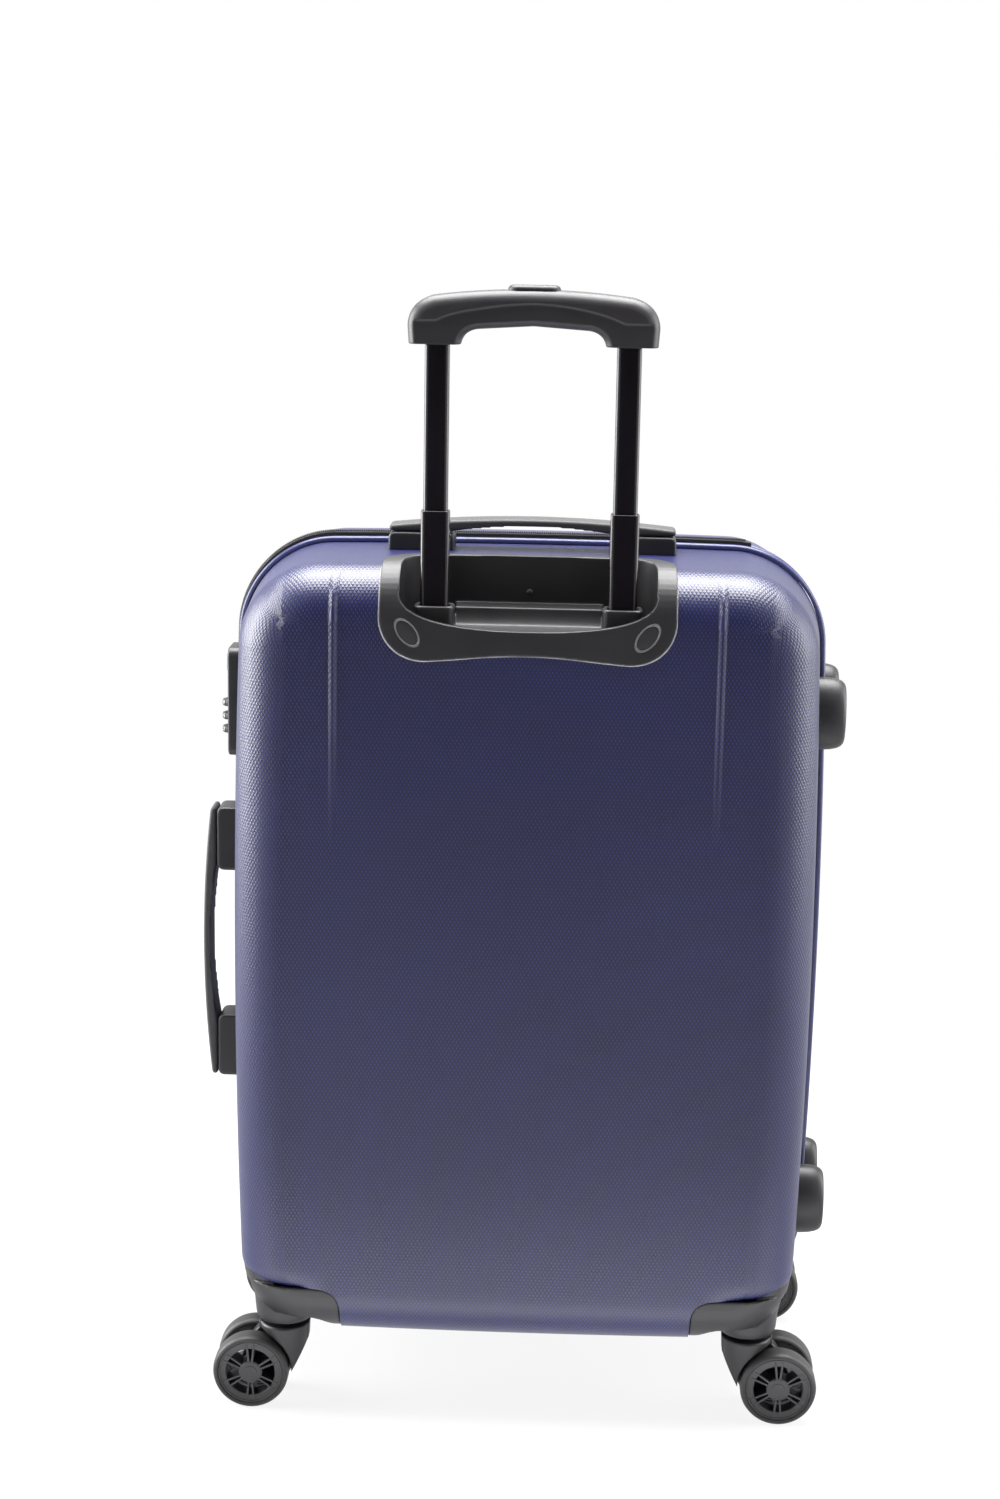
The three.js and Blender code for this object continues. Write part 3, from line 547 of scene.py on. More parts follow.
# ---------------------------------------------------------------- cutting tools, as in the CAD source
HOUSING = {"inner_x": 129.0, "inner_y": 50.0, "top": 104.0, "round": 18.0, "proud": 2.0, "inside": 1.5}
POCKET = {"radius": 42.0, "ceiling": 78.0, "round": 8.0, "plate": 4.0}
CASTER_X, CASTER_Y = 173.5, 90.0
RECESS_HALF, RECESS_BACK_HALF, RECESS_FLOOR = 89.0, 74.0, 597.0
RECESS_BACK_Y, RECESS_LIP_Y = -85.0, -127.0
MOUTH_RIM = 622.0


def corner_region(sign_x, side, grow):
    def profile(inner, sign):
        top, edge = HOUSING["top"] + grow, inner - grow
        points = path(
            (edge, 0),
            (edge, HOUSING["top"] - HOUSING["round"]),
            (edge, top, inner + HOUSING["round"], top),
            (FAR, top),
            (FAR, 0),
        )
        return [(sign * a, b) for a, b in points]

    along_y = prism("tool", "y", profile(HOUSING["inner_x"], sign_x), -FAR, FAR)
    along_x = prism("tool", "x", profile(HOUSING["inner_y"], side), -FAR, FAR)
    return common(along_y, along_x)


def recess_mouth():
    half, rim = RECESS_HALF + 0.5, MOUTH_RIM
    points = path(
        (-half, FAR),
        (-half, rim),
        (-half + 1, rim - 16, -60, RECESS_FLOOR, 0, RECESS_FLOOR),
        (60, RECESS_FLOOR, half - 1, rim - 16, half, rim),
        (half, FAR),
        count=24,
    )
    return prism("tool", "y", points, -FAR, RECESS_LIP_Y + 1)


def recess_tray(grow, front):
    half, back = RECESS_HALF + grow, RECESS_BACK_HALF + grow - 8
    back_y = RECESS_BACK_Y + grow
    points = path(
        (-half, front),
        (-half, TUBE_Y),
        (-half, back_y, -back, back_y),
        (back, back_y),
        (half, back_y, half, TUBE_Y),
        (half, front),
        count=16,
    )
    return prism("tool", "z", points, RECESS_FLOOR - grow, FAR)


def lock_hole():
    low = (-FAR, LOCK_LOW[1] - GAP, LOCK_LOW[2] - GAP)
    return plain_box(low, (LOCK_HIGH[0] + GAP, LOCK_HIGH[1] + GAP, LOCK_HIGH[2] + GAP))


# ---------------------------------------------------------------- shells
def unfold(points):
    """Where each point of the skin lies on the sheet that the shell was formed from, in metres."""
    x, distance, z = points[:, 0], np.abs(points[:, 1]), points[:, 2]
    turn = np.arcsin(np.clip((distance - STRAIGHT) / FILLET, 0, 1))
    run = FILLET * (math.pi / 2 - turn) + np.clip(STRAIGHT - distance, 0, None)
    flat_half = HALF_WIDTH - SIDE_DRAFT - FILLET
    flat_top, flat_bottom = TOP - END_DRAFT - FILLET, BOTTOM + END_DRAFT + FILLET
    edge_x = np.clip(x, -flat_half, flat_half)
    edge_z = np.clip(z, flat_bottom, flat_top)
    away = np.stack([x - edge_x, z - edge_z], 1)
    length = np.maximum(np.linalg.norm(away, axis=1), 1e-6)
    outwards = away / length[:, None] * np.where(length > 1e-3, run, 0)[:, None]
    return (np.stack([edge_x, edge_z], 1) + outwards) * MM


TUCK_FROM, TUCK = 119.0, 10.0
TUCK_START_X, TUCK_FADE_X, TUCK_FADE_Y = 6, 45, 30
TUCK_STILL_RADIUS = 20
TUCK_ROWS = (128, 119, 116, 113, 110, 107)
TUCK_COLUMNS = (HOUSING["inner_x"] + 4, 138, 146, 154, 163, 172, 182)
TUCK_SLICES = (HOUSING["inner_y"] - 2, 57, 64, 72, 82)


def tuck(made):
    """Rolls the lower edge of a skin in towards each caster, above its housing."""
    rows = bmesh.new()
    rows.from_mesh(made.data)
    planes = [((0, 0, 1), z) for z in TUCK_ROWS]
    planes += [((1, 0, 0), sign * x) for x in TUCK_COLUMNS for sign in (-1, 1)]
    planes += [((0, 1, 0), sign * y) for y in TUCK_SLICES for sign in (-1, 1)]
    for normal, distance in planes:
        faces = rows.faces[:]
        if normal != (0, 0, 1):
            faces = [f for f in faces if max(v.co.z for v in f.verts) <= (TUCK_ROWS[0] + 0.01) * MM]
        geometry = list({part for f in faces for part in (f, *f.edges, *f.verts)})
        geometry.sort(key=lambda part: (type(part).__name__, part.index))
        bmesh.ops.bisect_plane(rows, geom=geometry, plane_co=Vector(normal) * distance * MM, plane_no=normal)
        for parts in (rows.verts, rows.edges, rows.faces):
            parts.index_update()
    bmesh.ops.triangulate(rows, faces=[f for f in rows.faces if len(f.verts) > 4])
    rows.to_mesh(made.data)
    rows.free()
    for vertex in made.data.vertices:
        x, y, z = np.array(vertex.co) / MM
        share = clamped((TUCK_FROM - z) / (TUCK_FROM - HOUSING["top"]))
        beside = clamped((abs(x) - HOUSING["inner_x"] - TUCK_START_X) / TUCK_FADE_X)
        beyond = clamped((abs(y) - HOUSING["inner_y"]) / TUCK_FADE_Y)
        if not share * beside * beyond:
            continue
        inwards = np.array([CASTER_X * np.sign(x) - x, CASTER_Y * np.sign(y) - y])
        length = max(np.linalg.norm(inwards), 1e-6)
        fade = beside * beside * (3 - 2 * beside) * beyond * beyond * (3 - 2 * beyond)
        fade *= min(1.0, length / TUCK_STILL_RADIUS)
        step = inwards / length * TUCK * (1 - math.sqrt(1 - share * share)) * fade
        vertex.co.x += step[0] * MM
        vertex.co.y += step[1] * MM
    return made


def give_sheet_uv(made):
    points = np.array([v.co for v in made.data.vertices]) / MM
    flat = unfold(points)
    while made.data.uv_layers:
        made.data.uv_layers.remove(made.data.uv_layers[0])
    layer = made.data.uv_layers.new(name="sheet")
    corners = np.zeros(len(made.data.loops), int)
    made.data.loops.foreach_get("vertex_index", corners)
    layer.data.foreach_set("uv", flat[corners].astype(np.float32).ravel())


for half, side in HALVES:
    walls = cut(case_block(side, 0, SEAM_EDGE), case_block(side, -WALL, -1))
    walls = cut(walls, *[corner_region(sign, side, GAP) for _, sign in HANDS])
    if side < 0:
        walls = cut(walls, recess_tray(WALL + GAP, -FAR), lock_hole())
    walls.name = f"{half}_shell_moulding"
    give_sheet_uv(tuck(walls))
    shade(walls, 50)
    show(walls, f"{half}_half", SHELL, "shell_blue", f"{half}_shell")

RIDGE_X, RIDGE_HALF, RIDGE_HEIGHT = 135.0, 3.6, 1.7
RIDGE_FROM, RIDGE_TO = 430.0, 634.0


def crease_ridge(sign):
    """The pressed crease beside the handle recess, which runs over the fillet and fades downwards."""
    fillet_z = TOP - END_DRAFT - FILLET
    rings = []
    for k in range(121):
        z = RIDGE_FROM + (RIDGE_TO - RIDGE_FROM) * k / 120
        turn = math.asin(min(max(z - fillet_z, 0) / FILLET, 1))
        level = -(STRAIGHT + FILLET * math.cos(turn)) if z > fillet_z else -DEPTH
        normal = np.array([0, -math.cos(turn), math.sin(turn)])
        rise = min(1.0, (z - RIDGE_FROM) / 110) * min(1.0, (RIDGE_TO - z) / 14)
        row = []
        for i in range(13):
            across = -1 + 2 * i / 12
            height = RIDGE_HEIGHT * rise * (1 - across**2) ** 2 - 0.12
            row.append(np.array([sign * RIDGE_X + RIDGE_HALF * across, level, z]) + normal * height)
        rings.append(row)
    made = open_skin(f"crease_ridge_{'left' if sign < 0 else 'right'}", rings)
    give_sheet_uv(made)
    return made


for _, sign in HANDS:
    show(crease_ridge(sign), "rear_half", SHELL, "shell_blue")


# ---------------------------------------------------------------- seam: piping, zip and hinge
def seam_rings(profile, side, steps=24):
    """One ring round the case for each (distance from the seam, proud at the sides, proud at the top)."""
    return [outline(side * d, -at_side, -at_top, -at_side, steps, steps) for d, at_side, at_top in profile]


PIPING_PROUD = PIPING_HIGH[0] - SHELL_HIGH[0]
PIPING_WIDTH = PIPING_HIGH[1] - PIPING_LOW[1]
for half, side in HALVES:
    profile = []
    for k in range(13):
        turn = math.pi * k / 12
        reach = GAP + (PIPING_PROUD - GAP) * math.sin(turn) ** 0.6
        profile.append((SEAM_EDGE + PIPING_WIDTH * (0.5 - 0.5 * math.cos(turn)), reach, reach))
    made = loft(f"{half}_rim_piping", seam_rings(profile, side), capped=False, closed_path=True)
    if side < 0:
        made = cut(made, lock_hole())
    show(made, f"{half}_half", PIPING, "piping_blue", f"{half}_piping")

TAPE_WIDTH = TAPE_HIGH[1] - TAPE_LOW[1]
TAPE_SIDE, TAPE_TOP, TAPE_INSIDE = 5.0, 7.5, 2.0
TOOTH_PITCH = 1.6


def zip_run():
    """The zip's path round the case as points and outward directions, from its top end to its lower one."""
    line = np.array(outline(0, -TAPE_SIDE, -TAPE_TOP, -TAPE_SIDE, 40, 60))[:, [0, 2]]
    steps = np.linalg.norm(np.diff(np.vstack([line, line[:1]]), axis=0), axis=1)
    at = np.concatenate([[0], np.cumsum(steps)])
    count = int(at[-1] / TOOTH_PITCH)
    closed = np.vstack([line, line[:1]])
    even = np.array([[np.interp(d, at, closed[:, i]) for i in (0, 1)] for d in np.linspace(0, at[-1], count)])
    along = np.gradient(even, axis=0)
    along /= np.maximum(np.linalg.norm(along, axis=1, keepdims=True), 1e-9)
    outwards = np.stack([along[:, 1], -along[:, 0]], 1)
    keep = even[:, 0] < ZIP_END - 3
    return even[keep], along[keep], outwards[keep]


def zip_teeth(name, side):
    vertices, faces = [], []
    for i, (point, along, outwards) in enumerate(zip(*zip_run())):
        shift = 0.5 if side > 0 else 0.0
        for a, d, o in (
            (-0.5, 0.25, 0.2), (0.5, 0.25, 0.2), (0.5, 3.0, 0.2), (-0.5, 3.0, 0.2),
            (-0.35, 0.35, 1.3), (0.35, 0.35, 1.3), (0.35, 2.7, 1.0), (-0.35, 2.7, 1.0),
        ):
            x, z = point + along * (a + shift * TOOTH_PITCH * 0.5) + outwards * (o - 0.9)
            vertices.append((x, side * d, z))
        base = 8 * i
        for face in ((3, 2, 1, 0), (4, 5, 6, 7), (0, 1, 5, 4), (1, 2, 6, 5), (2, 3, 7, 6), (3, 0, 4, 7)):
            faces.append([base + f for f in face])
    if signed_volume(vertices[:8], faces[:6]) < 0:
        faces = [face[::-1] for face in faces]
    return new_object(name, vertices, faces, 30)


for half, side in HALVES:
    profile = [
        (GAP / 2, -TAPE_INSIDE, -TAPE_INSIDE),
        (GAP / 2, TAPE_SIDE - 1.2, TAPE_TOP - 1.2),
        (GAP / 2 + 0.6, TAPE_SIDE - 0.8, TAPE_TOP - 0.8),
        (GAP / 2 + TAPE_WIDTH - 0.6, TAPE_SIDE - 0.8, TAPE_TOP - 0.8),
        (GAP / 2 + TAPE_WIDTH, TAPE_SIDE - 1.4, TAPE_TOP - 1.4),
        (GAP / 2 + TAPE_WIDTH, -TAPE_INSIDE, -TAPE_INSIDE),
    ]
    tape = loft(f"{half}_zip_band", seam_rings(profile, side), capped=False, closed_path=True)
    tape = common(tape, plain_box((-FAR, -FAR, -FAR), (ZIP_END, FAR, FAR)))
    shade(tape, 40)
    show(tape, f"{half}_half", ZIP_TAPE, "zip_fabric", f"{half}_zip_tape")
    show(zip_teeth(f"{half}_zip_teeth", side), f"{half}_half", TEETH, "zip_fabric")


def hinge_fabric():
    """The fabric that joins the halves on the hinged side, folded inwards while the case is closed."""
    rows = []
    for k in range(33):
        share = k / 32
        fold = math.sin(math.pi * share)
        distance = (share - 0.5) * 2 * (SEAM_EDGE + 3)
        inwards = WALL + 0.6 + 7 * fold
        rows.append(outline(distance, inwards, inwards, inwards, 12, 40))
    rows = [[p for p in row if p[0] > ZIP_END + 25 and 110 < p[2] < 590] for row in rows]
    rows = [sorted(row, key=lambda p: p[2]) for row in rows]
    count = min(len(row) for row in rows)
    made = open_skin("hinge_fabric", [row[:count] for row in rows])
    modify(made, "SOLIDIFY", thickness=0.9 * MM, offset=0.0)
    return made


strip = hinge_fabric()
give_material(strip, ZIP_TAPE)
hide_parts("hinge_strip")
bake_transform(strip)


# ---------------------------------------------------------------- corner housings
def mirrored(made, name, x=1, y=1):
    """A copy of a piece, mirrored across the middle of the case where x or y is -1."""
    mesh = made.data.copy()
    mesh.transform(Matrix.Diagonal((x, y, 1, 1)))
    if x * y < 0:
        mesh.flip_normals()
    copy = bpy.data.objects.new(name, mesh)
    scene.collection.objects.link(copy)
    return copy


def rounded_profile(points, radius, steps=5):
    """A (radius, level) profile with its inner corners rounded."""
    made = [points[0]]
    for before, at, after in zip(points, points[1:], points[2:]):
        before, at, after = (np.array(p, float) for p in (before, at, after))
        reach = min(radius, np.linalg.norm(before - at) / 2.01, np.linalg.norm(after - at) / 2.01)
        a = at + (before - at) / max(np.linalg.norm(before - at), 1e-9) * reach
        b = at + (after - at) / max(np.linalg.norm(after - at), 1e-9) * reach
        for k in range(steps + 1):
            t = k / steps
            made.append(tuple((1 - t) ** 2 * a + 2 * t * (1 - t) * at + t**2 * b))
    return made + [points[-1]]


def corner_housing():
    """The rear right housing; the others are its mirror images."""
    side, centre = -1, (CASTER_X, -CASTER_Y, 0)
    skin = common(case_block(side, -1.2, SEAM_EDGE), corner_region(1, side, 0))
    above, ceiling = POCKET["ceiling"] + POCKET["plate"], POCKET["ceiling"]
    hollow = common(case_block(side, -5.0, SEAM_EDGE), plain_box((-FAR, -FAR, above), (FAR, FAR, FAR)))
    mouth = rounded_profile([(0, 0), (POCKET["radius"], 0), (POCKET["radius"], ceiling), (0, ceiling)], 8)
    skin = cut(skin, lathe("tool", mouth, centre=centre))
    outer = plain_box((CASTER_X, -FAR, 0), (FAR, -CASTER_Y, HOUSING["top"]))
    corner = joined(outer, plain_box((0, -FAR, 0), (FAR, -CASTER_Y - 26, ceiling)))
    flare = [(24.5, 92), (28.5, 100), (32.3, HOUSING["top"] - 0.2), (34.5, 107), (34.5, 120)]
    stem = [(0, 66.3), (20.2, 66.3), (21.4, 70), (22.5, 82)]
    cone = [*stem, *flare, (0, 120)]
    skin = cut(skin, cut(corner, lathe("tool", cone, centre=centre), front_web()), hollow)
    post = [*stem, (24, 90), (0, 90)]
    shoulder = common(lathe("tool", cone, centre=centre), case_block(side, -1.2, SEAM_EDGE))
    made = joined(skin, lathe("tool", post, centre=centre), shoulder)
    return moulded(cut(made, cylinder(5.4, 0, 200, centre=centre)), 0.8, 5, 0.3)


def front_web():
    """The part of the rear right housing that keeps to the rear face, down to its arched lower edge."""
    arch = path(
        (CASTER_X + 24, HOUSING["top"] + 5),
        (CASTER_X + 20, 70),
        (CASTER_X, 66),
        (CASTER_X - 22, 70),
        (CASTER_X - 34, 72, CASTER_X - 39, 58),
        (CASTER_X - 39, 0),
        (0, 0),
        (0, HOUSING["top"] + 5),
        count=14,
    )
    return prism("tool", "y", [tuple(p) for p in arch], -FAR, FAR)


housing = corner_housing()
for half, side in HALVES:
    for hand, sign in HANDS:
        name = f"{half}_{hand}_corner_housing"
        copy = mirrored(housing, f"{name}_moulding", sign, -side)
        show(copy, f"{half}_half", DARK, "dark_plastic", name)
bpy.data.objects.remove(housing)


# ---------------------------------------------------------------- trolley housing
BEZEL_HALF, BEZEL_BOTTOM, BEZEL_FRONT_Y = HOUSING_HIGH[0], HOUSING_LOW[2], HOUSING_HIGH[1]
BEZEL_PROUD, BEZEL_TOP_PROUD = -HOUSING_LOW[1] - DEPTH, 3.8
COLLAR_TOP, COLLAR_LIP = 612.0, 5.0
FIXED_SOCKET, LOWER_PASSAGE, UPPER_SOCKET = (24.0, 18.0), (20.8, 14.8), (17.8, 11.8)


def bezel_front(grow=0.0):
    half, low = BEZEL_HALF + grow, BEZEL_BOTTOM - grow
    right = path(
        (0, low + 5),
        (30, low + 5, 40, low + 2, half - 32, low),
        (half - 16, low, half - 2, low + 10, half, low + 28),
        (half, TOP - 6),
        (half - 3, FAR),
        count=16,
    )
    left = [(-x, z) for x, z in reversed(right[1:])]
    return prism("tool", "y", left + [tuple(p) for p in right], -FAR, BEZEL_FRONT_Y)


def tube_outline(width, depth, x, corner=3.2, steps=8):
    points = []
    for quarter, (sx, sy) in enumerate(((1, 1), (-1, 1), (-1, -1), (1, -1))):
        cx, cy = x + sx * (width / 2 - corner), TUBE_Y + sy * (depth / 2 - corner)
        for k in range(steps + 1):
            turn = (quarter + k / steps) * math.pi / 2
            points.append((cx + corner * math.cos(turn), cy + corner * math.sin(turn)))
    return points


def tube(name, width, depth, x, low, high, wall=1.2, edge=0.8):
    outer = prism(name, "z", tube_outline(width, depth, x), low, high, edge)
    inner = tube_outline(width - 2 * wall, depth - 2 * wall, x, 1.4)
    made = cut(outer, prism("tool", "z", inner, -FAR, FAR))
    shade(made, 40)
    return made


def raised_case():
    return moved(case_block(-1, BEZEL_PROUD, SEAM_EDGE), z=BEZEL_TOP_PROUD - BEZEL_PROUD)


def beyond_bezel():
    """Everything outside the bezel as seen from above: its edge follows the recess."""
    right = [(0, -77), (70, -77), (104, -79, 104, -116), (104, -FAR), (FAR, -FAR), (FAR, 0), (0, 0)]
    points = [tuple(p) for p in path(*right, count=16)]
    half = prism("tool", "z", points, 0, FAR)
    return joined(half, prism("tool", "z", [(-x, y) for x, y in points], 0, FAR))


def trolley_housing():
    flange = cut(common(raised_case(), bezel_front()), case_block(-1, -1.2, -1))
    cup = common(raised_case(), recess_tray(WALL, -FAR))
    tray = cut(joined(flange, cup), recess_tray(0, RECESS_LIP_Y), recess_mouth())
    tray = cut(tray, cut(beyond_bezel(), case_block(-1, -0.3, -1)))
    back, floor = RECESS_BACK_Y + 1, RECESS_FLOOR
    ramp = path(
        (back, floor - 1),
        (-108, floor - 1),
        (-103, floor + 3, -101, floor + 12),
        (back, floor + 13),
        count=16,
    )
    tray = joined(tray, prism("tool", "x", ramp, -52, 52, 1.0))
    for _, sign in HANDS:
        x = sign * TUBE_X
        low, high = (x - 14, TUBE_Y - 10.5, COLLAR_TOP - 26), (x + 14, TUBE_Y + 10.5, COLLAR_TOP)
        tray = joined(tray, rounded_box("tool", low, high, corner=4.5))
    for _, sign in HANDS:
        x = sign * TUBE_X
        fixed = prism("tool", "z", tube_outline(*FIXED_SOCKET, x), 0, COLLAR_TOP - COLLAR_LIP)
        tray = cut(tray, fixed, prism("tool", "z", tube_outline(*LOWER_PASSAGE, x), 0, FAR))
    return moulded(tray, 0.75, 4, 0.3)


show(trolley_housing(), "rear_half", DARK, "dark_plastic", "trolley_housing")


OVAL_STRETCH = 1.82


def oval(name, radius, low, high, x, z, tilt, edge=0.3):
    points = []
    for k in range(64):
        turn = 2 * math.pi * k / 64
        a, b = OVAL_STRETCH * radius * math.cos(turn), radius * math.sin(turn)
        across = x + a * math.cos(tilt) - b * math.sin(tilt)
        points.append((across, z + a * math.sin(tilt) + b * math.cos(tilt)))
    return prism(name, "y", points, low, high, edge)


for hand, sign in HANDS:
    place = (sign * 83.3, 594.8, sign * 0.9)
    face = -DEPTH - BEZEL_PROUD
    ring = oval(f"screw_ring_{hand}", 6.6, face - 0.25, face + 1, *place)
    ring = cut(ring, oval("tool", 5.5, -FAR, FAR, *place))
    show(ring, "rear_half", RING, "dark_plastic")
    cap = oval(f"screw_cap_{hand}", 5.4, face - 0.05, face + 1, *place)
    show(cap, "rear_half", GRIP, "grip_plastic", f"screw_cover_{hand}")

stud_profile = [(0, -1.0), (1.4, -0.9), (2.2, -0.2), (2.2, 1.2), (0, 1.2)]
stud = lathe("recess_stud", stud_profile, "y", (0, RECESS_BACK_Y, 618), 32)
show(stud, "rear_half", GRIP, "grip_plastic")

# A thin bead along the bezel's outline in pale plastic; its pale colour is a painted highlight standing for
# the light edge line there.
rim = common(case_block(-1, 1.0, SEAM_EDGE), bezel_front(0.55))
rim = cut(rim, case_block(-1, -1, -1), bezel_front(-0.3))
rim = cut(rim, beyond_bezel())
rim.name = "bezel_rim_painted_highlight"
show(rim, "rear_half", RIM_PAINTED_HIGHLIGHT, "dark_plastic")


# ---------------------------------------------------------------- telescopic handle
LOWER_LOW, LOWER_HIGH = box_mm("lower_tube_right")
UPPER_LOW, UPPER_HIGH = box_mm("upper_tube_right")
FIXED_LOW, FIXED_HIGH = box_mm("fixed_tube_right")
for hand, sign in HANDS:
    for stage, body, material, slot, (low, high), wall in (
        ("fixed", "rear_half", STEEL, "steel", (FIXED_LOW, FIXED_HIGH), 1.4),
        ("lower", "lower_stage", BLACK_TUBE, "black_aluminium", (LOWER_LOW, LOWER_HIGH), 1.2),
        ("upper", "upper_stage", BLACK_TUBE, "black_aluminium", (UPPER_LOW, UPPER_HIGH), 1.2),
    ):
        size = high - low
        made = tube(f"{stage}_section_{hand}", size[0], size[1], sign * TUBE_X, low[2], high[2], wall)
        show(made, body, material, slot, f"{stage}_tube_{hand}")

foot_low, foot_high = box_mm("tube_foot")
foot = rounded_box(
    "tube_foot_bar", (-84, -128, foot_low[2]), (84, foot_high[1], foot_high[2]), corner=4, edge=1
)
foot = common(foot, case_block(-1, -WALL - GAP, SEAM_EDGE))
show(foot, "rear_half", DARK, "dark_plastic", "tube_foot")


def grip_outline():
    """The grip from behind; its two sockets run on below it and are cut off afterwards."""
    half, low, top = GRIP_HIGH[0], GRIP_LOW[2], GRIP_HIGH[2]
    right = path(
        (0, top),
        (36, top, half - 18, top - 4.5),
        (half - 1, top - 9, half, low + 13),
        (half - 1.5, low - 9),
        (49, low - 9),
        (49.5, low),
        (48, low + 9, 38, low + 10.5),
        (0, low + 13),
        count=14,
    )
    left = [(-x, z) for x, z in reversed(right[1:-1])]
    return [tuple(p) for p in right] + left


def grip():
    body = prism("grip_moulding", "y", grip_outline(), GRIP_LOW[1], GRIP_HIGH[1], 9.0, 8)
    low = GRIP_LOW[2]
    body = cut(body, plain_box((-FAR, -FAR, 0), (FAR, FAR, low)))
    crease = path(
        (-90, low - 2),
        (-90, 808),
        (-66, 808.5),
        (-56, 814, -40, 816),
        (-20, 820, 0, 820.5),
        (20, 820, 38, 816),
        (52, 813, 62, 808),
        (90, 808),
        (90, low - 2),
        count=8,
    )
    for y in (GRIP_LOW[1] - 4, GRIP_HIGH[1] - 1.4):
        body = cut(body, prism("tool", "y", crease, y, y + 5.4))
    sockets = [
        prism("tool", "z", tube_outline(*UPPER_SOCKET, sign * TUBE_X), 0, 806.6) for _, sign in HANDS
    ]
    slot = plain_box((-72, TUBE_Y - 5, 806.5), (72, TUBE_Y + 5, 818))
    mouth = prism("tool", "z", button_outline(0.4), 817, FAR)
    return moulded(cut(body, *sockets, slot, mouth), 0.6, 6, 0.3)


def button_outline(grow):
    half, width = 18 + grow, 7 + grow
    points = []
    for middle, start in ((half - width, -0.5), (width - half, 0.5)):
        for k in range(17):
            turn = (start + k / 16) * math.pi
            points.append((middle + width * math.cos(turn), TUBE_Y + width * math.sin(turn)))
    return points


show(grip(), "upper_stage", GRIP, "grip_plastic", "grip")
button = prism("release_button_cap", "z", button_outline(0), 823, BUTTON_TOP, 3.4, 10)
stem = plain_box((-6, TUBE_Y - 4, 816), (6, TUBE_Y + 4, 824))
shade(joined(button, stem), 35)
show(button, "release", DARK, "dark_plastic", "release_button")
for node in ("release_yoke", "button_spring"):
    finish_node(node, STEEL)


# ---------------------------------------------------------------- carry handles
def handle_bracket(sign):
    """One end of a carry handle, in the handle's own frame: along x, lifting along z from its seat."""
    points = path((56, -22), (56, -6), (56, 0, 62, 0), (99, 0), (104, 0, 104, -5), (104, -22), count=8)
    made = prism("bracket", "y", [(sign * a, b) for a, b in points], -13, 13, 2.0)
    low, high = sorted((sign * 67.5, sign * 92.5))
    return cut(made, plain_box((low, -7.5, -9.6), (high, 7.5, 5)))


def handle_strap():
    base, thick, rise = GAP, 4.8, 5.5
    right = path(
        (0, base + thick + rise),
        (50, base + thick + rise, 101, base + thick),
        (103.5, base + thick - 0.6, 103.5, base + 2.6),
        (103.5, base, 100, base),
        (61, base),
        (30, base + rise, 0, base + rise),
        count=10,
    )
    left = [(-x, z) for x, z in reversed(right[1:-1])]
    strap = prism("strap", "y", [tuple(p) for p in right] + left, -12, 12, 2.2)
    for _, sign in HANDS:
        low, high = sorted((sign * 68, sign * 92))
        strap = joined(strap, plain_box((low, -7, -9), (high, 7, base + 1.5)))
    return moulded(strap, 0.7, 4, 0.3)


HANDLES = (
    ("top_handle", ("left", "right"), Matrix.Translation(Vector((0, -30, 653.5)) * MM), "top_strap"),
    (
        "side_handle",
        ("lower", "upper"),
        Matrix.Translation(Vector((-229.3, -35, 342.5)) * MM) @ Matrix.Rotation(-math.pi / 2, 4, "Y"),
        "side_strap",
    ),
)
for name, ends, place, body in HANDLES:
    for end, (_, sign) in zip(ends, HANDS):
        made = handle_bracket(sign)
        made.data.transform(place)
        made = moulded(cut(made, case_block(-1, -0.6, -1)), 0.6, 4, 0.35)
        made.name = f"{name}_{end}_mount"
        show(made, "rear_half", DARK, "dark_plastic", f"{name}_bracket_{end}")
    made = handle_strap()
    made.data.transform(place)
    made.name = f"{name}_grip"
    show(made, body, RUBBER, "handle_rubber", f"{name}_strap")


# ---------------------------------------------------------------- lock and zip sliders
LOCK_X, LOCK_BACK_X = LOCK_LOW[0], LOCK_HIGH[0]
LOCK_Y = (LOCK_LOW[1] + LOCK_HIGH[1]) / 2
DIAL_X, DIAL_LEVELS = -219.5, (502.0, 512.0, 522.0)


def lock_box(name, outwards, inwards, half, low, high, corner, edge=0):
    """A rounded box on the lock's face, reaching `half` to each side of its middle."""
    start = (LOCK_X - outwards, LOCK_Y - half, low)
    return rounded_box(name, start, (LOCK_X + inwards, LOCK_Y + half, high), "x", corner, edge)


body = rounded_box(
    "lock_case",
    (LOCK_X, LOCK_LOW[1], LOCK_LOW[2]),
    (LOCK_BACK_X, LOCK_HIGH[1], LOCK_HIGH[2]),
    "x",
    corner=7,
    edge=1.6,
    steps=8,
)
body = cut(body, lock_box("tool", 5, 1.2, 10.5, 495.5, 528.5, 3))
for z in DIAL_LEVELS:
    body = cut(body, plain_box((DIAL_X - 8.5, LOCK_Y - 8.5, z - 2.8), (DIAL_X + 8.5, LOCK_Y + 8.5, z + 2.8)))
body = cut(body, lock_box("tool", 5, 6.4, 8.4, 545.6, 560.4, 3))
keyhole = cylinder(2.6, -FAR, LOCK_X + 2, "x", (0, LOCK_Y, 537), 32)
body = cut(body, keyhole)
rod = cylinder(1.4, 496, 528, centre=(DIAL_X, LOCK_Y, 0), steps=16)
body = joined(body, rod)
shade(body, 35)
show(body, "rear_half", DARK, "dark_plastic", "lock_body")
barrel = lathe(
    "lock_barrel",
    [(0, LOCK_X + 0.5), (1.9, LOCK_X + 0.6), (2.3, LOCK_X + 1.0), (2.3, LOCK_X + 4), (0, LOCK_X + 4)],
    "x",
    (0, LOCK_Y, 537),
    32,
)
barrel = cut(barrel, plain_box((LOCK_X - 1, LOCK_Y - 0.3, 535.6), (LOCK_X + 1.6, LOCK_Y + 0.3, 538.4)))
show(barrel, "rear_half", STEEL, "steel")


